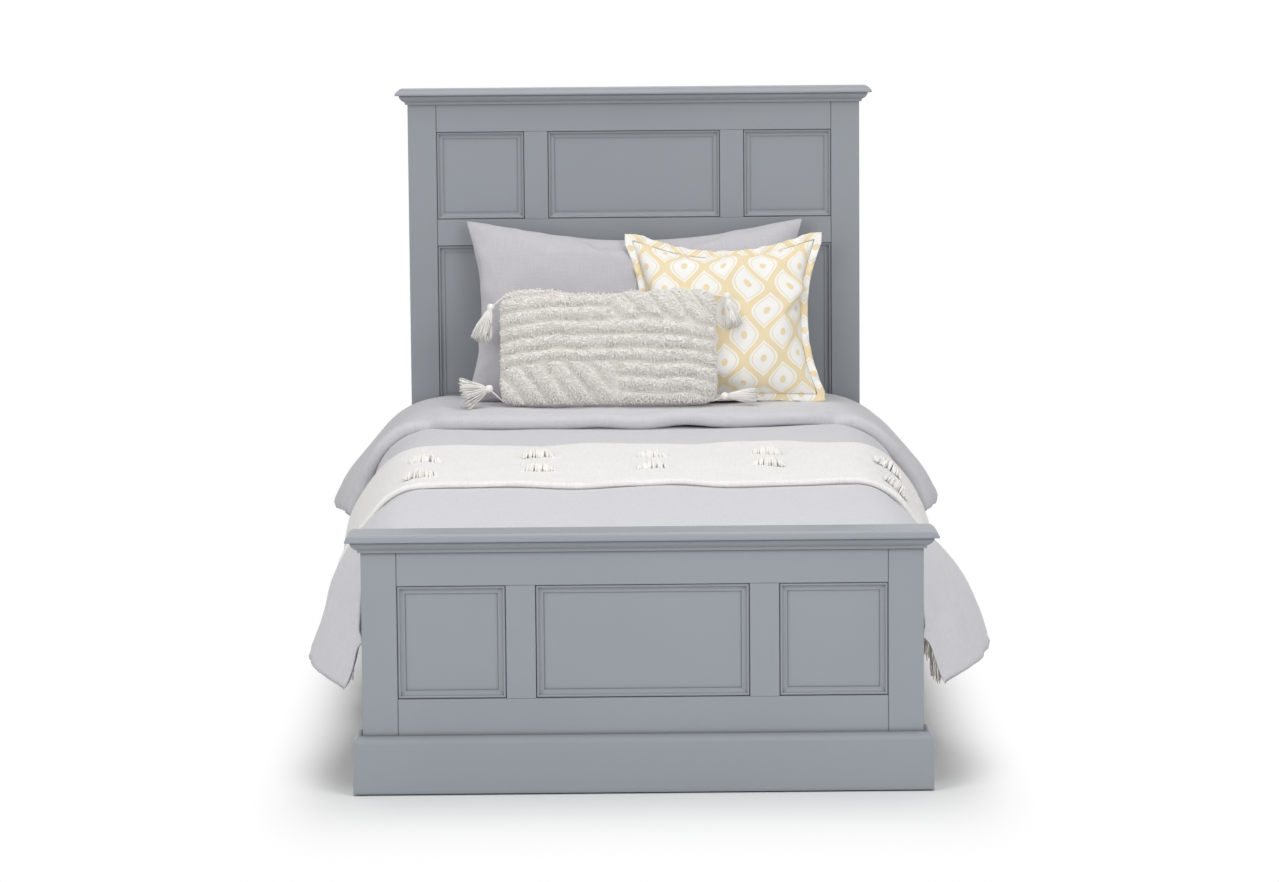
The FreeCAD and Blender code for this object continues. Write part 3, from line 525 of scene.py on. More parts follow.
def makeFoldBack():
    # its own sections carried along the bed, plus folds, roll, tucks and furrow square to them
    rows = edgeSpaced(110, foldBack["front"], foldBack["back"])
    face, run, outward = acrossBoth(rows, foldBack["sections"])
    share = (rows - foldBack["front"]) / (foldBack["back"] - foldBack["front"])
    # the free edge bows towards the foot in the middle of the bed and wanders; two tucks hold it back
    tucks = sum(np.exp(-((run - place) / width) ** 2) for place, width in foldBack["tucks"])
    front = (foldBack["tuckDepth"] * tucks - foldBack["bow"] * np.clip(1 - (run / 0.42) ** 2, -1, 1)
             + foldBack["wander"] * softNoise(run, 0 * run, 0.16, 21))
    depth = face[..., 1] + front * (1 - share[:, None]) ** 2
    face[..., 1] = depth
    edge = np.abs(run).max(1)[:, None] - np.abs(run)
    nearFront = rows[:, None] - foldBack["front"] + 0 * run
    ends = np.minimum(nearFront, foldBack["back"] - rows[:, None])
    down = np.clip(np.abs(run) - 0.42, 0, None)
    phase = depth * 2 * math.pi / 0.21 + np.sign(run) * 1.3 + down * 6
    folds = 0.006 * easeIn(down, 0.03, 0.2) * np.sin(phase)
    top = 0.0018 * softNoise(run, depth, 0.22, 8)
    gathers = 0.0016 * np.exp(-edge / 0.03) * softNoise(depth, run * 0.2, 0.02, 6)
    plump = np.exp(-((nearFront - foldBack["rollAt"]) / foldBack["rollWidth"]) ** 2)
    roll = plump * (0.0055 + 0.0035 * softNoise(run, depth * 0.2, 0.13, 12))
    tucked = -0.013 * tucks * np.exp(-nearFront / 0.06)
    # each hanging side has a furrow beside its front edge
    crease = (-foldBack["furrow"] * np.exp(-((nearFront - 0.036 - 0.16 * (down - 0.12)) / 0.011) ** 2)
              * np.exp(-((down - 0.12) / 0.055) ** 2))
    half = (foldBack["half"] + 0.004 * plump) * roundedEdge(edge, 0.026) * roundedEdge(ends, 0.018) + 0.0006
    lift = folds + top + gathers + roll + tucked + crease
    middle = face + outward * (lift - foldBack["half"] * (1 - 0.65 * np.exp(-edge / 0.02)))[..., None]
    points, faces = puffedShell(middle, half)
    made = newPiece("duvetFoldBack", points, faces, lilacCotton, "duvet",
                    shellMap(run, depth))


makeDuvet()
makeFoldBack()
print("duvet made")

throw = {
    "front": -0.4745, "back": 0.1595, "bottom": 0.1683, "fringeBottom": 0.0923,
    "gap": 0.0006, "layer": 0.0028, "loop": 0.0042, "loopRun": 0.07,
    "cords": 74,             # fringe cords to a hem
    "cordRadii": (0.0013, 0.0015, 0.0015, 0.0015, 0.0015, 0.0017, 0.0008),
    "yarns": 54,             # yarns to a tuft
    "yarnRadii": (0.0020, 0.0026, 0.0030, 0.0031, 0.0030, 0.0026, 0.0016),
    "tufts": ((-0.428, -0.109), (-0.424, -0.340), (-0.196, -0.060), (-0.195, -0.252), (0.032, -0.028),
              (0.030, -0.229), (0.258, -0.011), (0.263, -0.206), (0.492, -0.094), (0.495, -0.316)),
}


def throwBase(y, drop=14):
    # the duvet's face under the throw, carried straight down below the duvet's hem
    face, run, outward = acrossBoth(y, duvet["sections"])
    swell = duvetSwell(run, np.broadcast_to(y[:, None], run.shape))
    face = face + outward * swell[..., None]
    down = np.linspace(0, 1, drop + 1)[1:]
    sides = []
    for end in (0, -1):
        corner = face[:, end][:, None]
        fall = corner[..., 2] - throw["bottom"]
        below = np.repeat(corner, drop, 1)
        below[..., 2] -= fall * down
        more = np.sign(run[:, end])[:, None] * fall * down + run[:, end][:, None]
        way = np.tile([np.sign(run[0, end]), 0.0, 0.0], (len(y), drop, 1))
        sides.append((below, more, way))
    (leftPoints, leftRun, leftWay), (rightPoints, rightRun, rightWay) = sides
    return (np.concatenate([leftPoints[:, ::-1], face, rightPoints], 1),
            np.concatenate([leftRun[:, ::-1], run, rightRun], 1),
            np.concatenate([leftWay[:, ::-1], outward, rightWay], 1))


def makeThrow():
    # folded in two along the edge nearest the foot: the lower layer runs up to it, round a loop,
    # and back on top; the path is (place along the bed, height over the duvet)
    low = throw["gap"] + throw["layer"] / 2
    high = low + throw["layer"] + 0.0006
    front, back, loop = throw["front"], throw["back"], throw["loop"]
    under = edgeSpaced(56, back, front + loop)
    turn = np.linspace(-math.pi / 2, math.pi / 2, 11)[1:-1]
    over = edgeSpaced(64, front + loop, back - 0.004)
    rise = np.exp(-((over - front) / throw["loopRun"]) ** 2)
    stitch = -0.0012 * np.exp(-((over - front - 0.075) / 0.004) ** 2)
    y = np.concatenate([under, front + loop - loop * np.cos(turn), over])
    height = np.concatenate([np.full(len(under), low), low + loop + loop * np.sin(turn),
                             high + (2 * loop - (high - low)) * rise + stitch])
    base, run, outward = throwBase(y)
    depth = np.broadcast_to(y[:, None], run.shape)
    upper = (np.arange(len(y)) >= len(under))[:, None]
    waver = upper * (0.0009 * softNoise(run, depth, 0.12, 31) + 0.0009)
    middle = base + outward * (height[:, None] + waver)[..., None]
    middle[..., 1] += 0.006 * softNoise(run, 0 * run, 0.5, 33) * easeIn(np.abs(depth - back), 0.0, 0.3)
    half = np.full(run.shape, throw["layer"] / 2)
    cloth = np.concatenate([[0], np.cumsum(np.hypot(np.diff(y), np.diff(height)))])
    points, faces = puffedShell(middle, half)
    made = newPiece("throwCloth", points, faces, throwCotton, "throw",
                    shellMap(run, np.broadcast_to(cloth[:, None], run.shape)), ["throw"])
    return made, run


def makeFringe():
    # cords hang from both hems: straight down from the hem, plus a sway that grows with the square
    # of the share of the way down, and a small wave
    random = np.random.default_rng(41)
    paths = []
    for end, side in ((0, -1), (-1, 1)):
        y = np.linspace(throw["front"] + 0.006, throw["back"] - 0.006, throw["cords"])
        base = throwBase(y)[0][:, end]
        length = throw["bottom"] - throw["fringeBottom"] - random.uniform(0, 0.012, len(y))
        share = np.linspace(0, 1, 7)
        sway = random.normal(0, 0.004, (len(y), 1)) * share ** 2
        wave = 0.0012 * np.sin(share * 9 + random.uniform(0, 6, (len(y), 1)))
        path = np.zeros((len(y), 7, 3))
        spread = random.uniform(0, 0.003, (len(y), 1)) * share
        path[..., 0] = base[:, None, 0] + side * 0.0034 + side * (wave + spread)
        path[..., 1] = y[:, None] + sway + wave
        path[..., 2] = base[:, None, 2] + 0.004 - (length[:, None] + 0.004) * share
        paths.append(path)
    return strandPiece("throwFringe", np.concatenate(paths), np.array(throw["cordRadii"]), creamYarn,
                       "throw")


def makeTufts():
    # each tuft: yarns drawn through the cloth that lie down towards the foot; a yarn rises from the
    # cloth by lift times the sine of half a turn
    random = np.random.default_rng(43)
    paths = []
    for x, y in throw["tufts"]:
        count = throw["yarns"]
        face, run, outward = acrossBoth(np.array([y]), duvet["sections"])
        place = np.abs(face[0, :, 0] - x).argmin()
        out = outward[0, place]
        base = face[0, place] + out * (duvetSwell(run, np.array([[y]]))[0, place] + 0.0065)
        over = np.array([out[2], 0.0, -out[0]])
        across = random.uniform(-0.027, 0.027, count)
        reach = random.uniform(0.026, 0.048, count)
        lift = random.uniform(0.009, 0.016, count) * (1 - (across / 0.034) ** 2)
        share = np.linspace(0, 1, 7)
        path = base + across[:, None, None] * over * (1 + 0.2 * share[None, :, None])
        path = path + (np.sin(share * math.pi) * lift[:, None])[..., None] * out
        path[..., 1] += 0.012 - share * reach[:, None]
        paths.append(path)
    return strandPiece("throwTufts", np.concatenate(paths), np.array(throw["yarnRadii"]), tuftYarn,
                       "throw")


throwCloth, throwRun = makeThrow()
throwFringe = makeFringe()
throwTufts = makeTufts()

mattress = {"quilt": 0.0035, "quiltMm": 90.0, "corner": 0.055, "edge": 0.024, "centreInset": 0.03}


def makeMattress():
    # a profile from the middle of the top over the side to the middle of the bottom, carried round a
    # rounded rectangle; top and bottom sink between diamonds by the product of two slanting sines
    low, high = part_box("mattress")
    width, length = (high.x - low.x) / 2, (high.y - low.y) / 2
    centre = np.array([(low.x + high.x) / 2, (low.y + high.y) / 2])
    edge, innermost = mattress["edge"], width - mattress["centreInset"]
    signs = ((1, 1), (-1, 1), (-1, -1), (1, -1))

    def rim(inset):
        # rounded rectangle, inset from the outside: a quarter circle at each corner, then a straight side
        r = np.maximum(mattress["corner"] - inset, 0.004)
        middles = np.array(signs) * [width - inset - r, length - inset - r]
        parts = []
        for number in range(4):
            turn = np.linspace(0, math.pi / 2, 12) + number * math.pi / 2
            parts.append(middles[number] + r * np.stack([np.cos(turn), np.sin(turn)], -1))
            start = middles[(number + 1) % 4] + r * np.array([math.cos(turn[-1]), math.sin(turn[-1])])
            end = parts[-1][-1]
            parts.append(end + (start - end) * np.linspace(0, 1, 26)[1:-1, None])
        return np.concatenate(parts)

    profile = []             # (inset, height, share of the quilting)
    for inset in np.linspace(innermost, edge, 18):
        profile.append((inset, high.z, 1.0))
    for a in np.linspace(0, math.pi / 2, 9)[1:]:
        profile.append((edge - edge * math.sin(a), high.z - edge + edge * math.cos(a), 0.3))
    for z in np.linspace(high.z - edge, low.z + edge, 12)[1:-1]:
        profile.append((0.0, z, 0.0))
    for a in np.linspace(math.pi / 2, 0, 9):
        profile.append((edge - edge * math.sin(a), low.z + edge - edge * math.cos(a), 0.3))
    for inset in np.linspace(edge, innermost, 18)[1:]:
        profile.append((inset, low.z, 1.0))
    rings = []
    for inset, z, flat in profile:
        points = rim(inset)
        turns = math.pi * 1000 / mattress["quiltMm"]
        quilt = np.abs(np.sin((points[:, 0] + points[:, 1]) * turns)
                       * np.sin((points[:, 0] - points[:, 1]) * turns))
        sign = 1 if z > (low.z + high.z) / 2 else -1
        height = z - sign * flat * mattress["quilt"] * (1 - quilt)
        rings.append(np.column_stack([points + centre, height]))
    grid = np.stack(rings)
    grid = np.concatenate([grid, grid[:, :1]], 1)
    rows, columns = grid.shape[:2]
    number = np.arange(rows * (columns - 1)).reshape(rows, columns - 1)
    number = np.concatenate([number, number[:, :1]], 1)
    points = grid[:, :-1].reshape(-1, 3)
    centres = np.array([[centre[0], centre[1], high.z], [centre[0], centre[1], low.z]])
    top, bottom = len(points), len(points) + 1
    walls = quads(number)
    faces = [walls[:, [0, 1, 2]], walls[:, [0, 2, 3]]]
    faces.append(np.column_stack([np.full(columns - 1, top), number[0, :-1], number[0, 1:]]))
    faces.append(np.column_stack([np.full(columns - 1, bottom), number[-1, 1:], number[-1, :-1]]))
    points = np.concatenate([points, centres])
    uv = np.column_stack([points[:, 0], points[:, 1] + points[:, 2]])
    made = newPiece("mattressPad", points, np.concatenate(faces), tickingCotton, "mattress",
                    uv, ["mattress"])


makeMattress()
print("mattress made")

# Pillow and cushions: each stands on its lower edge on the fold-back and leans back about that edge
pillow = {"width": 0.754, "height": 0.412, "front": 0.040, "back": 0.024, "lean": 16.0,
          "place": (0.0, 0.8165, 0.5083), "topDraw": 0.046, "sideDraw": 0.034,
          "rows": 62, "columns": 110, "pressure": 4.0, "frames": 20, "cap": 0.060}
square = {"width": 0.438, "height": 0.386, "front": 0.050, "back": 0.0085, "lean": 18.5,
          "place": (0.197, 0.7605, 0.5088), "topDraw": 0.042, "sideDraw": 0.034, "flange": 0.016,
          "rows": 70, "columns": 80, "pressure": 5.0, "frames": 20, "cap": 0.060, "ruffle": 0.0034}
lumbar = {"width": 0.486, "height": 0.268, "front": 0.044, "back": 0.007, "lean": 21.0,
          "place": (-0.060, 0.6945, 0.5083), "rows": 170, "columns": 270, "bands": 8.4, "rise": 0.0120,
          "pileApart": 0.0038, "pileLength": 0.0105, "slope": 50.0,
          "upperFrom": 0.002, "upperLean": 0.30, "upperRow": 6.05, "lowerTo": 0.016, "lowerRow": 3.05}


def stand(points, settings):
    # turned by lean about the lower edge, then moved to its place
    lean = math.radians(settings["lean"])
    x, y, z = points[..., 0], points[..., 1], points[..., 2]
    turned = np.stack([x, y * math.cos(lean) + z * math.sin(lean),
                       z * math.cos(lean) - y * math.sin(lean)], -1)
    return turned + np.array(settings["place"])


def twoFaces(x, z, front, back):
    # points and faces of two cloths over one outline, sewn together at the rim
    number, under = faceCells(*x.shape)
    points = np.concatenate([np.stack([x, front, z], -1).reshape(-1, 3),
                             np.stack([x, back, z], -1)[1:-1, 1:-1].reshape(-1, 3)])
    flat = np.concatenate([np.stack([x, z], -1).reshape(-1, 2),
                           np.stack([x, z + 1.0], -1)[1:-1, 1:-1].reshape(-1, 2)])
    return points, np.concatenate([quads(number)[:, ::-1], quads(under)]), flat


def inflated(points, faces, settings):
    # blow up the sewn cloths with a little air; the slack that the rim takes up turns to creases
    mesh = bpy.data.meshes.new("blown")
    mesh.from_pydata(points.tolist(), [], faces.tolist())
    blown = bpy.data.objects.new("blown", mesh)
    bpy.context.scene.collection.objects.link(blown)
    cloth = blown.modifiers.new("cloth", "CLOTH")
    cloth.settings.quality = 6
    cloth.settings.mass = 0.15
    cloth.settings.tension_stiffness = 25.0
    cloth.settings.compression_stiffness = 25.0
    cloth.settings.shear_stiffness = 8.0
    cloth.settings.bending_stiffness = 0.15
    cloth.settings.use_pressure = True
    cloth.settings.uniform_pressure_force = settings["pressure"]
    cloth.settings.effector_weights.gravity = 0.0
    cloth.point_cache.frame_start, cloth.point_cache.frame_end = 1, settings["frames"]
    for step in range(1, settings["frames"] + 1):
        bpy.context.scene.frame_set(step)
    shape = blown.evaluated_get(bpy.context.evaluated_depsgraph_get()).to_mesh()
    found = np.zeros(len(points) * 3, np.float32)
    shape.vertices.foreach_get("co", found)
    bpy.context.scene.frame_set(1)
    bpy.data.objects.remove(blown)
    bpy.data.meshes.remove(mesh)
    moved = found.reshape(-1, 3).astype(float) - points
    far = np.linalg.norm(moved, axis=1, keepdims=True)
    return points + moved * np.minimum(1.0, settings["cap"] / np.maximum(far, 1e-9))


def fitted(points, rows, columns, width, height, settings):
    # the blown shape brought to its real outline and depth: each point keeps its share of the way
    # between the rims, and the rims go to curves that dip between blunt corners
    x, y, z = points.T
    x = (x - (x.min() + x.max()) / 2) * width / (x.max() - x.min())
    z = (z - z.min()) * height / (z.max() - z.min())
    rim = np.arange(rows * columns).reshape(rows, columns)
    across = np.clip(x / (width / 2), -1, 1)
    low = np.interp(x, x[rim[0]], z[rim[0]])
    high = np.interp(x, x[rim[-1]], z[rim[-1]])
    top = height - settings["topDraw"] * (1 - np.abs(across) ** 2.2) ** 1.25
    foot = 0.004 * (1 - across ** 2)
    z = foot + (z - low) * (top - foot) / np.maximum(high - low, 1e-6)
    up = np.clip(z / height * 2 - 1, -1, 1)
    order = np.argsort(z[rim[:, 0]])
    left = np.interp(z, z[rim[:, 0]][order], x[rim[:, 0]][order])
    order = np.argsort(z[rim[:, -1]])
    right = np.interp(z, z[rim[:, -1]][order], x[rim[:, -1]][order])
    side = width / 2 - settings["sideDraw"] * (1 - np.abs(up) ** 2.4) ** 1.25
    x = -side + (x - left) * 2 * side / np.maximum(right - left, 1e-6)
    y = np.where(y < 0, y * settings["front"] / -y.min(), y * settings["back"] / y.max())
    return np.stack([x, y, z], -1)


def calmed(points, rows, columns, passes=7):
    # the cloth's bending stiffness in short: each point goes half way to the mean of its four neighbours
    points = points.copy()
    for grid in faceCells(rows, columns):
        for _ in range(passes):
            cloth = points[grid]
            mean = (cloth[:-2, 1:-1] + cloth[2:, 1:-1] + cloth[1:-1, :-2] + cloth[1:-1, 2:]) / 4
            points[grid[1:-1, 1:-1]] = (cloth[1:-1, 1:-1] + mean) / 2
    return points


def blownCushion(width, height, settings):
    # two flat cloths 12 mm apart from the middle at most, blown up, fitted and calmed
    rows, columns = settings["rows"], settings["columns"]
    across = np.linspace(-1, 1, columns)[None, :] + np.zeros((rows, 1))
    up = np.linspace(-1, 1, rows)[:, None] + np.zeros((1, columns))
    x, z = across * width / 2, height / 2 + up * height / 2
    swell = ((1 - across ** 4) * (1 - up ** 4)) ** 0.6
    wander = 1 + 0.25 * softNoise(x, z, 0.09, int(settings["lean"] * 10))
    points, faces, flat = twoFaces(x, z, -0.012 * swell * wander, 0.012 * swell * wander)
    blown = inflated(points, faces, settings)
    return calmed(fitted(blown, rows, columns, width, height, settings), rows, columns), faces, flat


def finer(made):
    # one round of subdivision
    smooth = made.modifiers.new("smooth", "SUBSURF")
    smooth.levels = smooth.render_levels = 1
    return made


def makePillow():
    points, faces, flat = blownCushion(pillow["width"], pillow["height"], pillow)
    made = newPiece("pillowCover", stand(points, pillow), faces, greyCotton, "pillow", flat,
                    ["pillow"])
    finer(made)


def makeSquare():
    # the filled cushion, and round its seam a flat flange of two cloths: rows of points from the seam
    # outwards, moved to and fro by two sine waves along the seam that grow with the way out
    flange = square["flange"]
    width, height = square["width"] - 2 * flange, square["height"] - 2 * flange
    points, faces, flat = blownCushion(width, height, square)
    points[:, 2] += flange
    made = newPiece("squareCover", stand(points, square), faces, printedCotton, "square_cushion",
                    flat, ["square_cushion"])
    finer(made)
    rows, columns = square["rows"], square["columns"]
    grid = np.arange(rows * columns).reshape(rows, columns)
    loop = np.concatenate([grid[0, :-1], grid[:-1, -1], grid[-1, :0:-1], grid[:0:-1, 0]])
    seam, seamFlat = points[loop], flat[loop]
    x, z = seam[:, 0], seam[:, 2]
    ahead = np.roll(seam, -1, 0) - np.roll(seam, 1, 0)
    outward = np.stack([ahead[:, 2], np.zeros(len(x)), -ahead[:, 0]], -1)
    outward /= np.linalg.norm(outward, axis=1, keepdims=True)
    # at the corners the flange runs out square to both edges
    corner = np.minimum.reduce([np.hypot(np.abs(x) - np.abs(x).max(), z - level)
                                for level in (z.min(), z.max())])
    reach = flange * (1 + 0.45 * np.exp(-(corner / 0.004) ** 2))
    out = np.linspace(0, 1, 9)
    run = np.concatenate([[0], np.cumsum(np.linalg.norm(np.diff(seam, axis=0), axis=1))])
    ruffle = square["ruffle"] * (np.sin(run * 2 * math.pi / 0.047)
                                 + 0.7 * np.sin(run * 2 * math.pi / 0.031 + 1))
    sheet = seam[None] + outward[None] * reach[None, :, None] * out[:, None, None]
    sheet[..., 1] += ruffle * out[:, None] ** 1.3
    sheet[..., 2] = np.maximum(sheet[..., 2], 0.0)
    half = 0.0011 * roundedEdge((1 - out)[:, None] * flange + 0 * run, 0.0012) + 0.0002
    welt = 0.0006 * np.exp(-((out[:, None] - 0.12) / 0.06) ** 2)
    points, faces = closedBand(sheet, half - welt * 0.8)
    edgeFlat = seamFlat[None] + (outward[:, [0, 2]] * flange)[None] * out[:, None, None]
    edgeFlat = edgeFlat.reshape(-1, 2)
    newPiece("squareFlange", stand(points, square), faces, printedCotton, "square_cushion",
             np.concatenate([edgeFlat, edgeFlat]))


def closedBand(middle, half):
    # a flat band round a closed line: rows run outwards, columns round; both faces and both edges
    rows, columns, _ = middle.shape
    shift = np.stack([np.zeros_like(half), half, np.zeros_like(half)], -1)
    points = np.concatenate([(middle - shift).reshape(-1, 3), (middle + shift).reshape(-1, 3)])
    number = np.arange(rows * columns).reshape(rows, columns)
    number = np.concatenate([number, number[:, :1]], 1)
    other = number + rows * columns
    front, back = quads(number), quads(other)[:, ::-1]
    outer = np.stack([number[-1, :-1], other[-1, :-1], other[-1, 1:], number[-1, 1:]], -1)
    inner = np.stack([number[0, :-1], number[0, 1:], other[0, 1:], other[0, :-1]], -1)
    return points, np.concatenate([front, back, outer, inner])


prints = {"colours": ("EBDAB3", "F3F2EF"), "repeatMm": (84.0, 96.0), "width": 0.42, "border": 0.052,
          "ringAt": 0.125, "ringHalf": 0.014, "dot": 0.0060}


def printedCloth():
    # screen-printed cotton: rows of pale ogees with a ring and a dot, each row shifted by half a repeat
    material, tree, shader, uv, cloth = wovenCotton("screenPrintedCotton", ("000000", "FFFFFF"), 1.8, 0.4)
    apart = addNode(tree, "ShaderNodeSeparateXYZ", None, Vector=uv)
    value = {"right": apart.outputs[0], "up": apart.outputs[1], "cloth": cloth}
    wide, tall = prints["repeatMm"]

    # each row: the result's name, the sum and what goes into it, a number or an earlier name
    rows = []
    for motif, shift in (("first", 0.0), ("second", 0.5)):
        rows += [
            ("turnRight", "MULTIPLY_ADD", "right", 1000 / wide, shift),
            ("partRight", "FRACT", "turnRight"),
            ("a", "SUBTRACT", "partRight", 0.5),
            ("turnUp", "MULTIPLY_ADD", "up", 1000 / tall, shift),
            ("partUp", "FRACT", "turnUp"),
            ("b", "SUBTRACT", "partUp", 0.5),
            # an ogee: wide in the middle, drawn to a point above and below
            ("fromMiddle", "ABSOLUTE", "b"),
            ("angle", "MULTIPLY", "fromMiddle", 2 * math.pi),
            ("wave", "COSINE", "angle"),
            ("width", "MULTIPLY_ADD", "wave", 0.5, 0.5),
            ("halfWidth", "MULTIPLY", "width", prints["width"]),
            ("aside", "ABSOLUTE", "a"),
            ("inside", "SUBTRACT", "halfWidth", "aside"),
            ("body", "GREATER_THAN", "inside", prints["border"]),
            ("fromRing", "SUBTRACT", "inside", prints["ringAt"]),
            ("ringGap", "ABSOLUTE", "fromRing"),
            ("ring", "LESS_THAN", "ringGap", prints["ringHalf"]),
            ("aSquared", "MULTIPLY", "a", "a"),
            ("fromDot", "MULTIPLY_ADD", "b", "b", "aSquared"),
            ("dot", "LESS_THAN", "fromDot", prints["dot"]),
            ("left", "MAXIMUM", "ring", "dot"),
            (motif, "SUBTRACT", "body", "left"),
        ]
    rows += [("both", "MAXIMUM", "first", "second"), ("inked", "MINIMUM", "both", 1.0),
             ("wear", "MULTIPLY_ADD", "cloth", 0.12, 0.9), ("worn", "MULTIPLY", "inked", "wear")]
    for name, operation, *terms in rows:
        sockets = {"i" + str(place): value.get(term, term) for place, term in enumerate(terms)}
        value[name] = addNode(tree, "ShaderNodeMath", {"operation": operation}, **sockets).outputs[0]
    mix = addNode(tree, "ShaderNodeMix", {"data_type": "RGBA"}, i0=value["worn"],
                  i6=colour(prints["colours"][0]), i7=colour(prints["colours"][1]))
    tree.links.new(mix.outputs[2], shader.inputs["Base Color"])
    return material


def bandHeight(x, z):
    # 1 on a band's middle line, 0 between bands, along half a circle. The rows run across, dip at both
    # ends and wander; the upper two give way on the right, and the lower three on the left, to bands
    # that slope down to the right
    half = lumbar["width"] / 2
    pitch = lumbar["height"] / lumbar["bands"]
    stray = 0.0022 * softNoise(x, z * 0.5, 0.11, 74)
    row = (z + stray + 0.016 * np.abs(x / half) ** 3) / pitch
    slope = math.radians(lumbar["slope"])
    slant = (x * math.sin(slope) + z * math.cos(slope) + stray) / (pitch * 1.25) + 0.35
    high, low = lumbar["upperRow"], lumbar["lowerRow"]
    upperEdge = lumbar["upperFrom"] + lumbar["upperLean"] * (z - high * pitch)
    upper = (x > upperEdge) & (row > high)
    lower = (x < lumbar["lowerTo"]) & (row < low)
    phase = np.where(upper | lower, slant, row + 0.05)
    gap = np.abs(phase - np.floor(phase) - 0.5) * 2
    # plain cloth shows in a narrow strip round each slanting field, wider where the bands end below
    border = np.where(row > high, np.minimum(np.abs(x - upperEdge) / 0.007, 1.0), 1.0)
    border = np.where(row < low, np.minimum(np.abs(x - lumbar["lowerTo"]) / 0.012, 1.0), border)
    border = np.minimum(border, np.where(x > 0.0, np.abs(row - high) / 0.26, 1))
    border = np.minimum(border, np.where(x < lumbar["lowerTo"], np.abs(row - low) / 0.26, 1))
    return np.sqrt(np.clip(1 - (gap / 0.80) ** 2, 0, 1)) * np.clip(border, 0, 1)


def lumbarFace(across, up):
    # the plain cloth: full nearly to its edges, its corners blunt; the top edge bulges at both ends
    # and sags left of the middle
    width, height = lumbar["width"], lumbar["height"]
    blunt = np.abs(across) ** 7 * np.abs(up) ** 5
    x = across * width / 2 - np.sign(across) * (across ** 2 * 0.006 * (1 - up ** 2) + 0.014 * blunt)
    high = np.clip(up, 0, 1) ** 2
    sag = 0.012 * np.exp(-((across + 0.12) / 0.34) ** 2) + 0.005 * np.exp(-((across - 0.35) / 0.2) ** 2)
    z = height / 2 + up * height / 2 - high * (sag + 0.002) - np.sign(up) * 0.013 * blunt
    swell = ((1 - np.abs(across) ** 6) * (1 - np.abs(up) ** 4)) ** 0.42
    bands = bandHeight(x, z)
    front = -(lumbar["front"] - 0.004) * swell - bands * lumbar["rise"] * np.clip(swell * 2.5, 0, 1)
    return x, z, swell, bands, front


def makeLumbar():
    # the cushion's face on a fine grid, roughened where the bands are; the back is one plain swell
    across = edgeSpaced(lumbar["columns"], -1, 1)[None, :] + np.zeros((lumbar["rows"], 1))
    up = edgeSpaced(lumbar["rows"], -1, 1)[:, None] + np.zeros((1, lumbar["columns"]))
    x, z, swell, bands, front = lumbarFace(across, up)
    pile = softNoise(x, z, 0.007, 71, 24) * 0.0006 + softNoise(x, z, 0.016, 72, 20) * 0.0009
    points, faces, flat = twoFaces(x, z, front - pile * bands * np.clip(swell * 3, 0, 1),
                                   lumbar["back"] * swell)
    made = newPiece("lumbarCover", stand(points, lumbar), faces, creamPile, "lumbar_cushion",
                    flat, ["lumbar_cushion"])


def makePile():
    # short yarn ends stand all over the bands, leaning every way, as tufting leaves them
    random = np.random.default_rng(77)
    apart = lumbar["pileApart"]
    a = np.arange(-lumbar["width"] / 2 + 0.004, lumbar["width"] / 2 - 0.004, apart)
    b = np.arange(0.004, lumbar["height"] - 0.004, apart)
    spotX, spotZ = [g.ravel() for g in np.meshgrid(a, b)]
    spotX = spotX + random.uniform(-0.5, 0.5, spotX.size) * apart
    spotZ = spotZ + random.uniform(-0.5, 0.5, spotZ.size) * apart
    across, up = spotX / (lumbar["width"] / 2), spotZ / lumbar["height"] * 2 - 1
    x, z, swell, bands, front = lumbarFace(across, up)
    kept = bands > 0.35
    x, z, front, swell = x[kept], z[kept], front[kept], swell[kept]
    count = len(x)
    lean = random.normal(0, 0.62, (count, 2))
    rise = np.clip(np.abs(up[kept]) ** 6, 0, 1) * np.sign(up[kept]) * 1.2
    side = np.clip(np.abs(across[kept]) ** 10, 0, 1) * np.sign(across[kept]) * 1.2
    way = np.stack([lean[:, 0] + side, -np.ones(count), lean[:, 1] + rise - 0.25], -1)
    way /= np.linalg.norm(way, axis=1, keepdims=True)
    length = lumbar["pileLength"] * random.uniform(0.6, 1.0, count) * np.clip(swell * 2, 0.3, 1)
    share = np.array([0.0, 0.45, 1.0])
    foot = np.stack([x, front + 0.003, z], -1)
    droop = np.array([0.0, 0.0, -0.0016])
    path = foot[:, None] + way[:, None] * (length[:, None] * share)[..., None]
    path = path + droop * (share ** 2)[None, :, None]
    path[..., 2] = np.maximum(path[..., 2], 0.0005)
    strandPiece("lumbarPile", stand(path, lumbar), np.array([0.0013, 0.0016, 0.0013]), pileYarn,
                "lumbar_cushion", 4)


def tuftedPile():
    # tufted cotton ground: matt and broken, with a pale bloom
    material, tree, shader, uv, _ = wovenCotton("tuftedCottonGround", ("E4E0DA", "F1EEE9"), 3.0, 1.0)
    nub = addNode(tree, "ShaderNodeTexVoronoi", None, Vector=uv, Scale=330.0)
    fleck = addNode(tree, "ShaderNodeTexNoise", None, Vector=uv, Scale=260.0, Detail=4.0)
    both = addNode(tree, "ShaderNodeMath", {"operation": "SUBTRACT"}, i0=fleck.outputs[0],
                   i1=nub.outputs[0])
    bump = addNode(tree, "ShaderNodeBump", None, Height=both.outputs[0], Strength=0.7, Distance=0.002)
    tree.links.new(bump.outputs[0], shader.inputs["Normal"])
    return material


printedCotton = printedCloth()
creamPile = tuftedPile()
pileYarn = spunYarn("cutCottonPile", ("EDE9E4", "FBF9F7"))
makePillow()
makeSquare()
makeLumbar()
makePile()
print("cushions made")

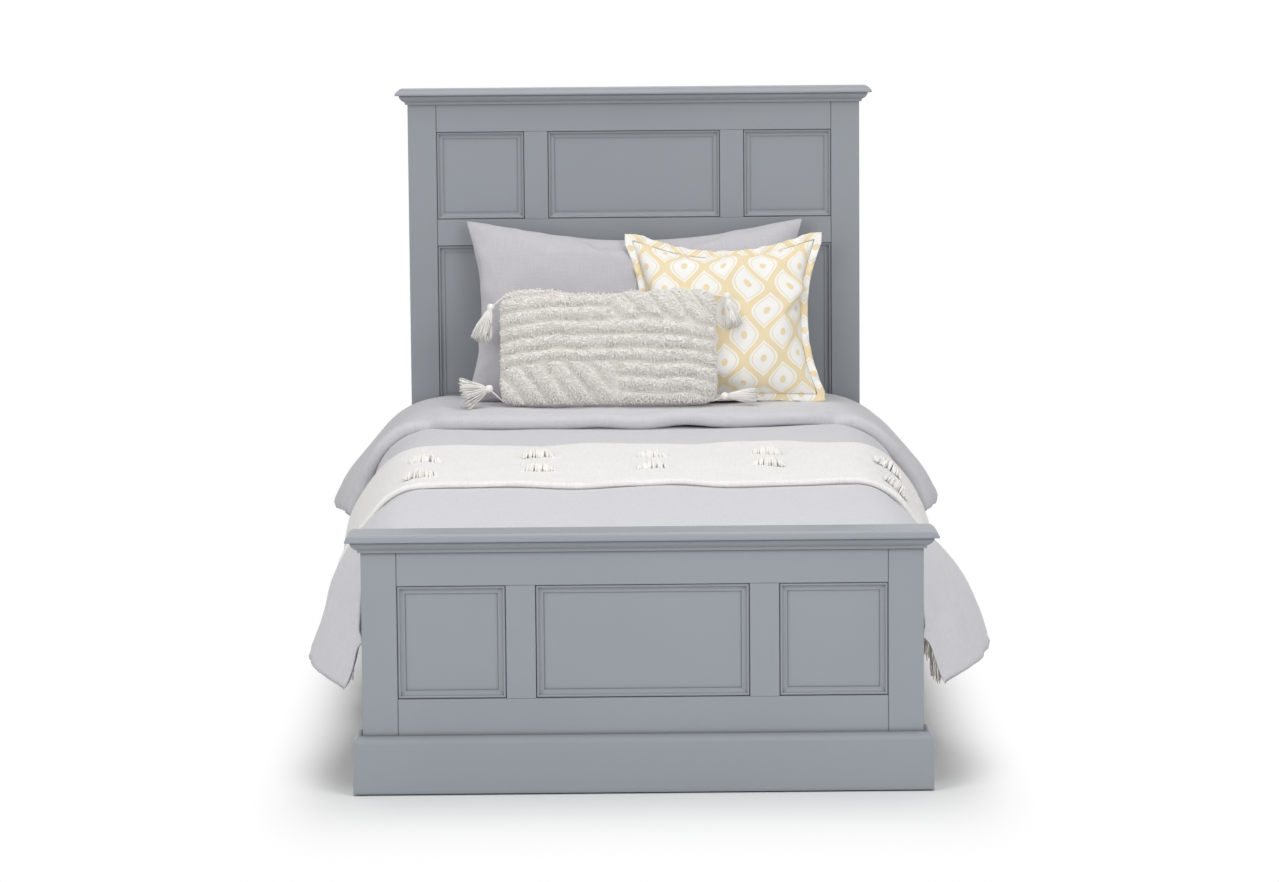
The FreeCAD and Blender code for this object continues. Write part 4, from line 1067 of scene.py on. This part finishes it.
# Tassels at the lumbar cushion's corners, by side and level: where each starts from its corner, in
# tassel radii, and the way it hangs, both in the bed's own directions
tassels = {
    "length": 0.072, "radius": 0.019, "knot": 0.0085, "neck": 0.0055, "cord": 0.0016, "yarns": 110,
    "inset": 0.014, "low": 0.012, "goldenAngle": 2.399963,
    "fullness": {(-1, 1): (1.22, 1.35), (1, 1): (1.12, 1.15), (1, -1): (1.15, 0.95), (-1, -1): (1.0, 2.1)},
    "hang": {(-1, 1): ((-0.74, -0.32, -1.47), (-0.3, -0.25, -0.92)),
             (1, 1): ((0.92, -0.85, -0.30), (0.22, -0.22, -0.95)),
             (1, -1): ((0.16, -0.1, 1.16), (1.0, -0.08, 0.02)),
             (-1, -1): ((-0.63, 0.0, 2.32), (-0.95, -0.1, -0.22))},
}


def cornerPlace(side, level):
    # just inside the cushion's corner, so that the cord starts in its cloth
    height = lumbar["height"] - tassels["inset"] if level > 0 else tassels["low"]
    return stand(np.array([side * (lumbar["width"] / 2 - tassels["inset"]), 0.0, height]), lumbar)


def makeTassels():
    # a cord, a bound knot, then yarns that leave the neck close together and open out: yarn n stands
    # at n golden angles round the middle, at the square root of its share of the radius
    random = np.random.default_rng(81)
    yarns, bodies = [], []
    for (side, level), (start, way) in tassels["hang"].items():
        corner = cornerPlace(side, level)
        first = corner + (np.array(start) + [side * 0.7, 0.0, level * 0.6]) * tassels["radius"]
        way = np.array(way) / np.linalg.norm(way)
        over = np.cross(way, [0.0, 1.0, 0.0])
        over /= np.linalg.norm(over)
        other = np.cross(way, over)
        count = tassels["yarns"]
        angle = np.arange(count) * tassels["goldenAngle"]
        spread = np.sqrt((np.arange(count) + 0.5) / count)
        share = np.linspace(0, 1, 8)
        longer, wider = tassels["fullness"][(side, level)]
        opening = tassels["neck"] * 0.8 + (tassels["radius"] * wider - tassels["neck"]) * share ** 0.8
        reach = tassels["length"] * longer * random.uniform(0.86, 1.0, count)
        down = tassels["knot"] * 1.6 + share * (reach[:, None] - tassels["knot"] * 1.6)
        out = opening * spread[:, None]
        wave = 0.0016 * np.sin(share * 8 + random.uniform(0, 6, (count, 1))) * share
        path = first + down[..., None] * way
        path = path + ((out + wave) * np.cos(angle)[:, None])[..., None] * over
        path = path + ((out + wave) * np.sin(angle)[:, None])[..., None] * other
        yarns.append(path)
        rings = np.linspace(0, 1, 9)[:, None]
        bodies.append(first + (rings * tassels["knot"] * 2.1) * way)
        bodies.append(corner + (first + way * tassels["knot"] - corner) * rings)
    skirt = strandPiece("tasselYarns", np.concatenate(yarns), np.array([0.0012] * 7 + [0.0008]), tuftYarn,
                        "lumbar_cushion", 4)
    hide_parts("lumbar_tassels")
    knot = np.sin(np.linspace(0.12, 0.93, 9) * math.pi) ** 0.6 * tassels["knot"]
    radii = np.stack([knot, np.full(9, tassels["cord"])] * 4)
    strandPiece("tasselHeads", np.stack(bodies), radii, tuftYarn, "lumbar_cushion", 14)


makeTassels()
print("tassels made")

studio = {
    "world": 0.33, "floor": "F7F7F7", "floorHalf": 60.0,
    "footprint": (0.52, 1.04, 0), "sideways": 3.0, "whiteFrom": 0.05, "whiteAt": 0.60,
    # place, what it points at, side length in metres, watts
    "lamps": {"topBox": ((0.0, 0.1, 3.4), (0, 0.0, 0.4), 2.4, 42.0),
              "keyBox": ((2.3, -3.7, 2.4), (0, -0.9, 0.4), 2.2, 68.0),
              "fillBox": ((-2.6, -3.5, 2.2), (0, -0.9, 0.4), 2.2, 61.0)},
}


def makeStage():
    # a broad pale floor that turns plain white round the bed, soft lamps high on both sides
    size = studio["floorHalf"]
    mesh = bpy.data.meshes.new("floor")
    mesh.from_pydata([(-size, -size, 0), (size, -size, 0), (size, size, 0), (-size, size, 0)], [],
                     [(0, 1, 2, 3)])
    floor = bpy.data.objects.new("floor", mesh)
    bpy.context.scene.collection.objects.link(floor)
    material = bpy.data.materials.new("paleFloor")
    material.use_nodes = True
    tree = material.node_tree
    tree.nodes.clear()
    # how far outside the bed's footprint a point lies, counted three times over to the sides
    place = addNode(tree, "ShaderNodeTexCoord").outputs["Object"]
    beyond = addNode(tree, "ShaderNodeVectorMath", {"operation": "ABSOLUTE"}, i0=place)
    for operation, value in (("SUBTRACT", studio["footprint"]), ("MAXIMUM", (0, 0, 0)),
                             ("MULTIPLY", (studio["sideways"], 1.0, 0))):
        beyond = addNode(tree, "ShaderNodeVectorMath", {"operation": operation}, i0=beyond.outputs[0],
                         i1=value)
    far = addNode(tree, "ShaderNodeVectorMath", {"operation": "LENGTH"}, i0=beyond.outputs[0])
    share = addNode(tree, "ShaderNodeMapRange", {"interpolation_type": "SMOOTHSTEP"},
                    Value=far.outputs["Value"], i1=studio["whiteFrom"], i2=studio["whiteAt"])
    matt = addNode(tree, "ShaderNodeBsdfDiffuse", None, Color=colour(studio["floor"]))
    white = addNode(tree, "ShaderNodeEmission", None, Strength=1.0)
    ray = addNode(tree, "ShaderNodeLightPath")
    direct = addNode(tree, "ShaderNodeMath", {"operation": "MAXIMUM"}, i0=ray.outputs["Is Camera Ray"],
                     i1=ray.outputs["Is Glossy Ray"])
    seen = addNode(tree, "ShaderNodeMath", {"operation": "MULTIPLY"}, i0=share.outputs[0],
                   i1=direct.outputs[0])
    both = addNode(tree, "ShaderNodeMixShader", None, i0=seen.outputs[0], i1=matt.outputs[0],
                   i2=white.outputs[0])
    addNode(tree, "ShaderNodeOutputMaterial", None, Surface=both.outputs[0])
    mesh.materials.append(material)

    world = bpy.data.worlds.new("studio")
    bpy.context.scene.world = world
    world.use_nodes = True
    tree = world.node_tree
    tree.nodes.clear()
    ray = addNode(tree, "ShaderNodeLightPath")
    direct = addNode(tree, "ShaderNodeMath", {"operation": "MAXIMUM"}, i0=ray.outputs["Is Camera Ray"],
                     i1=ray.outputs["Is Transmission Ray"])
    direct = addNode(tree, "ShaderNodeMath", {"operation": "MAXIMUM"}, i0=direct.outputs[0],
                     i1=ray.outputs["Is Glossy Ray"])
    power = addNode(tree, "ShaderNodeMapRange", None, Value=direct.outputs[0], i3=studio["world"], i4=1.0)
    light = addNode(tree, "ShaderNodeBackground", None, Color=(1, 1, 1, 1), Strength=power.outputs[0])
    addNode(tree, "ShaderNodeOutputWorld", None, Surface=light.outputs[0])

    for name, (place, target, size, watts) in studio["lamps"].items():
        data = bpy.data.lights.new(name, "AREA")
        data.shape, data.size, data.energy = "SQUARE", size, watts
        lamp = bpy.data.objects.new(name, data)
        lamp.location = place
        lamp.rotation_mode = "QUATERNION"
        lamp.rotation_quaternion = (Vector(target) - Vector(place)).to_track_quat("-Z", "Y")
        bpy.context.scene.collection.objects.link(lamp)


makeStage()
view = bpy.context.scene.view_settings
view.view_transform = "Standard"
print("stage made")
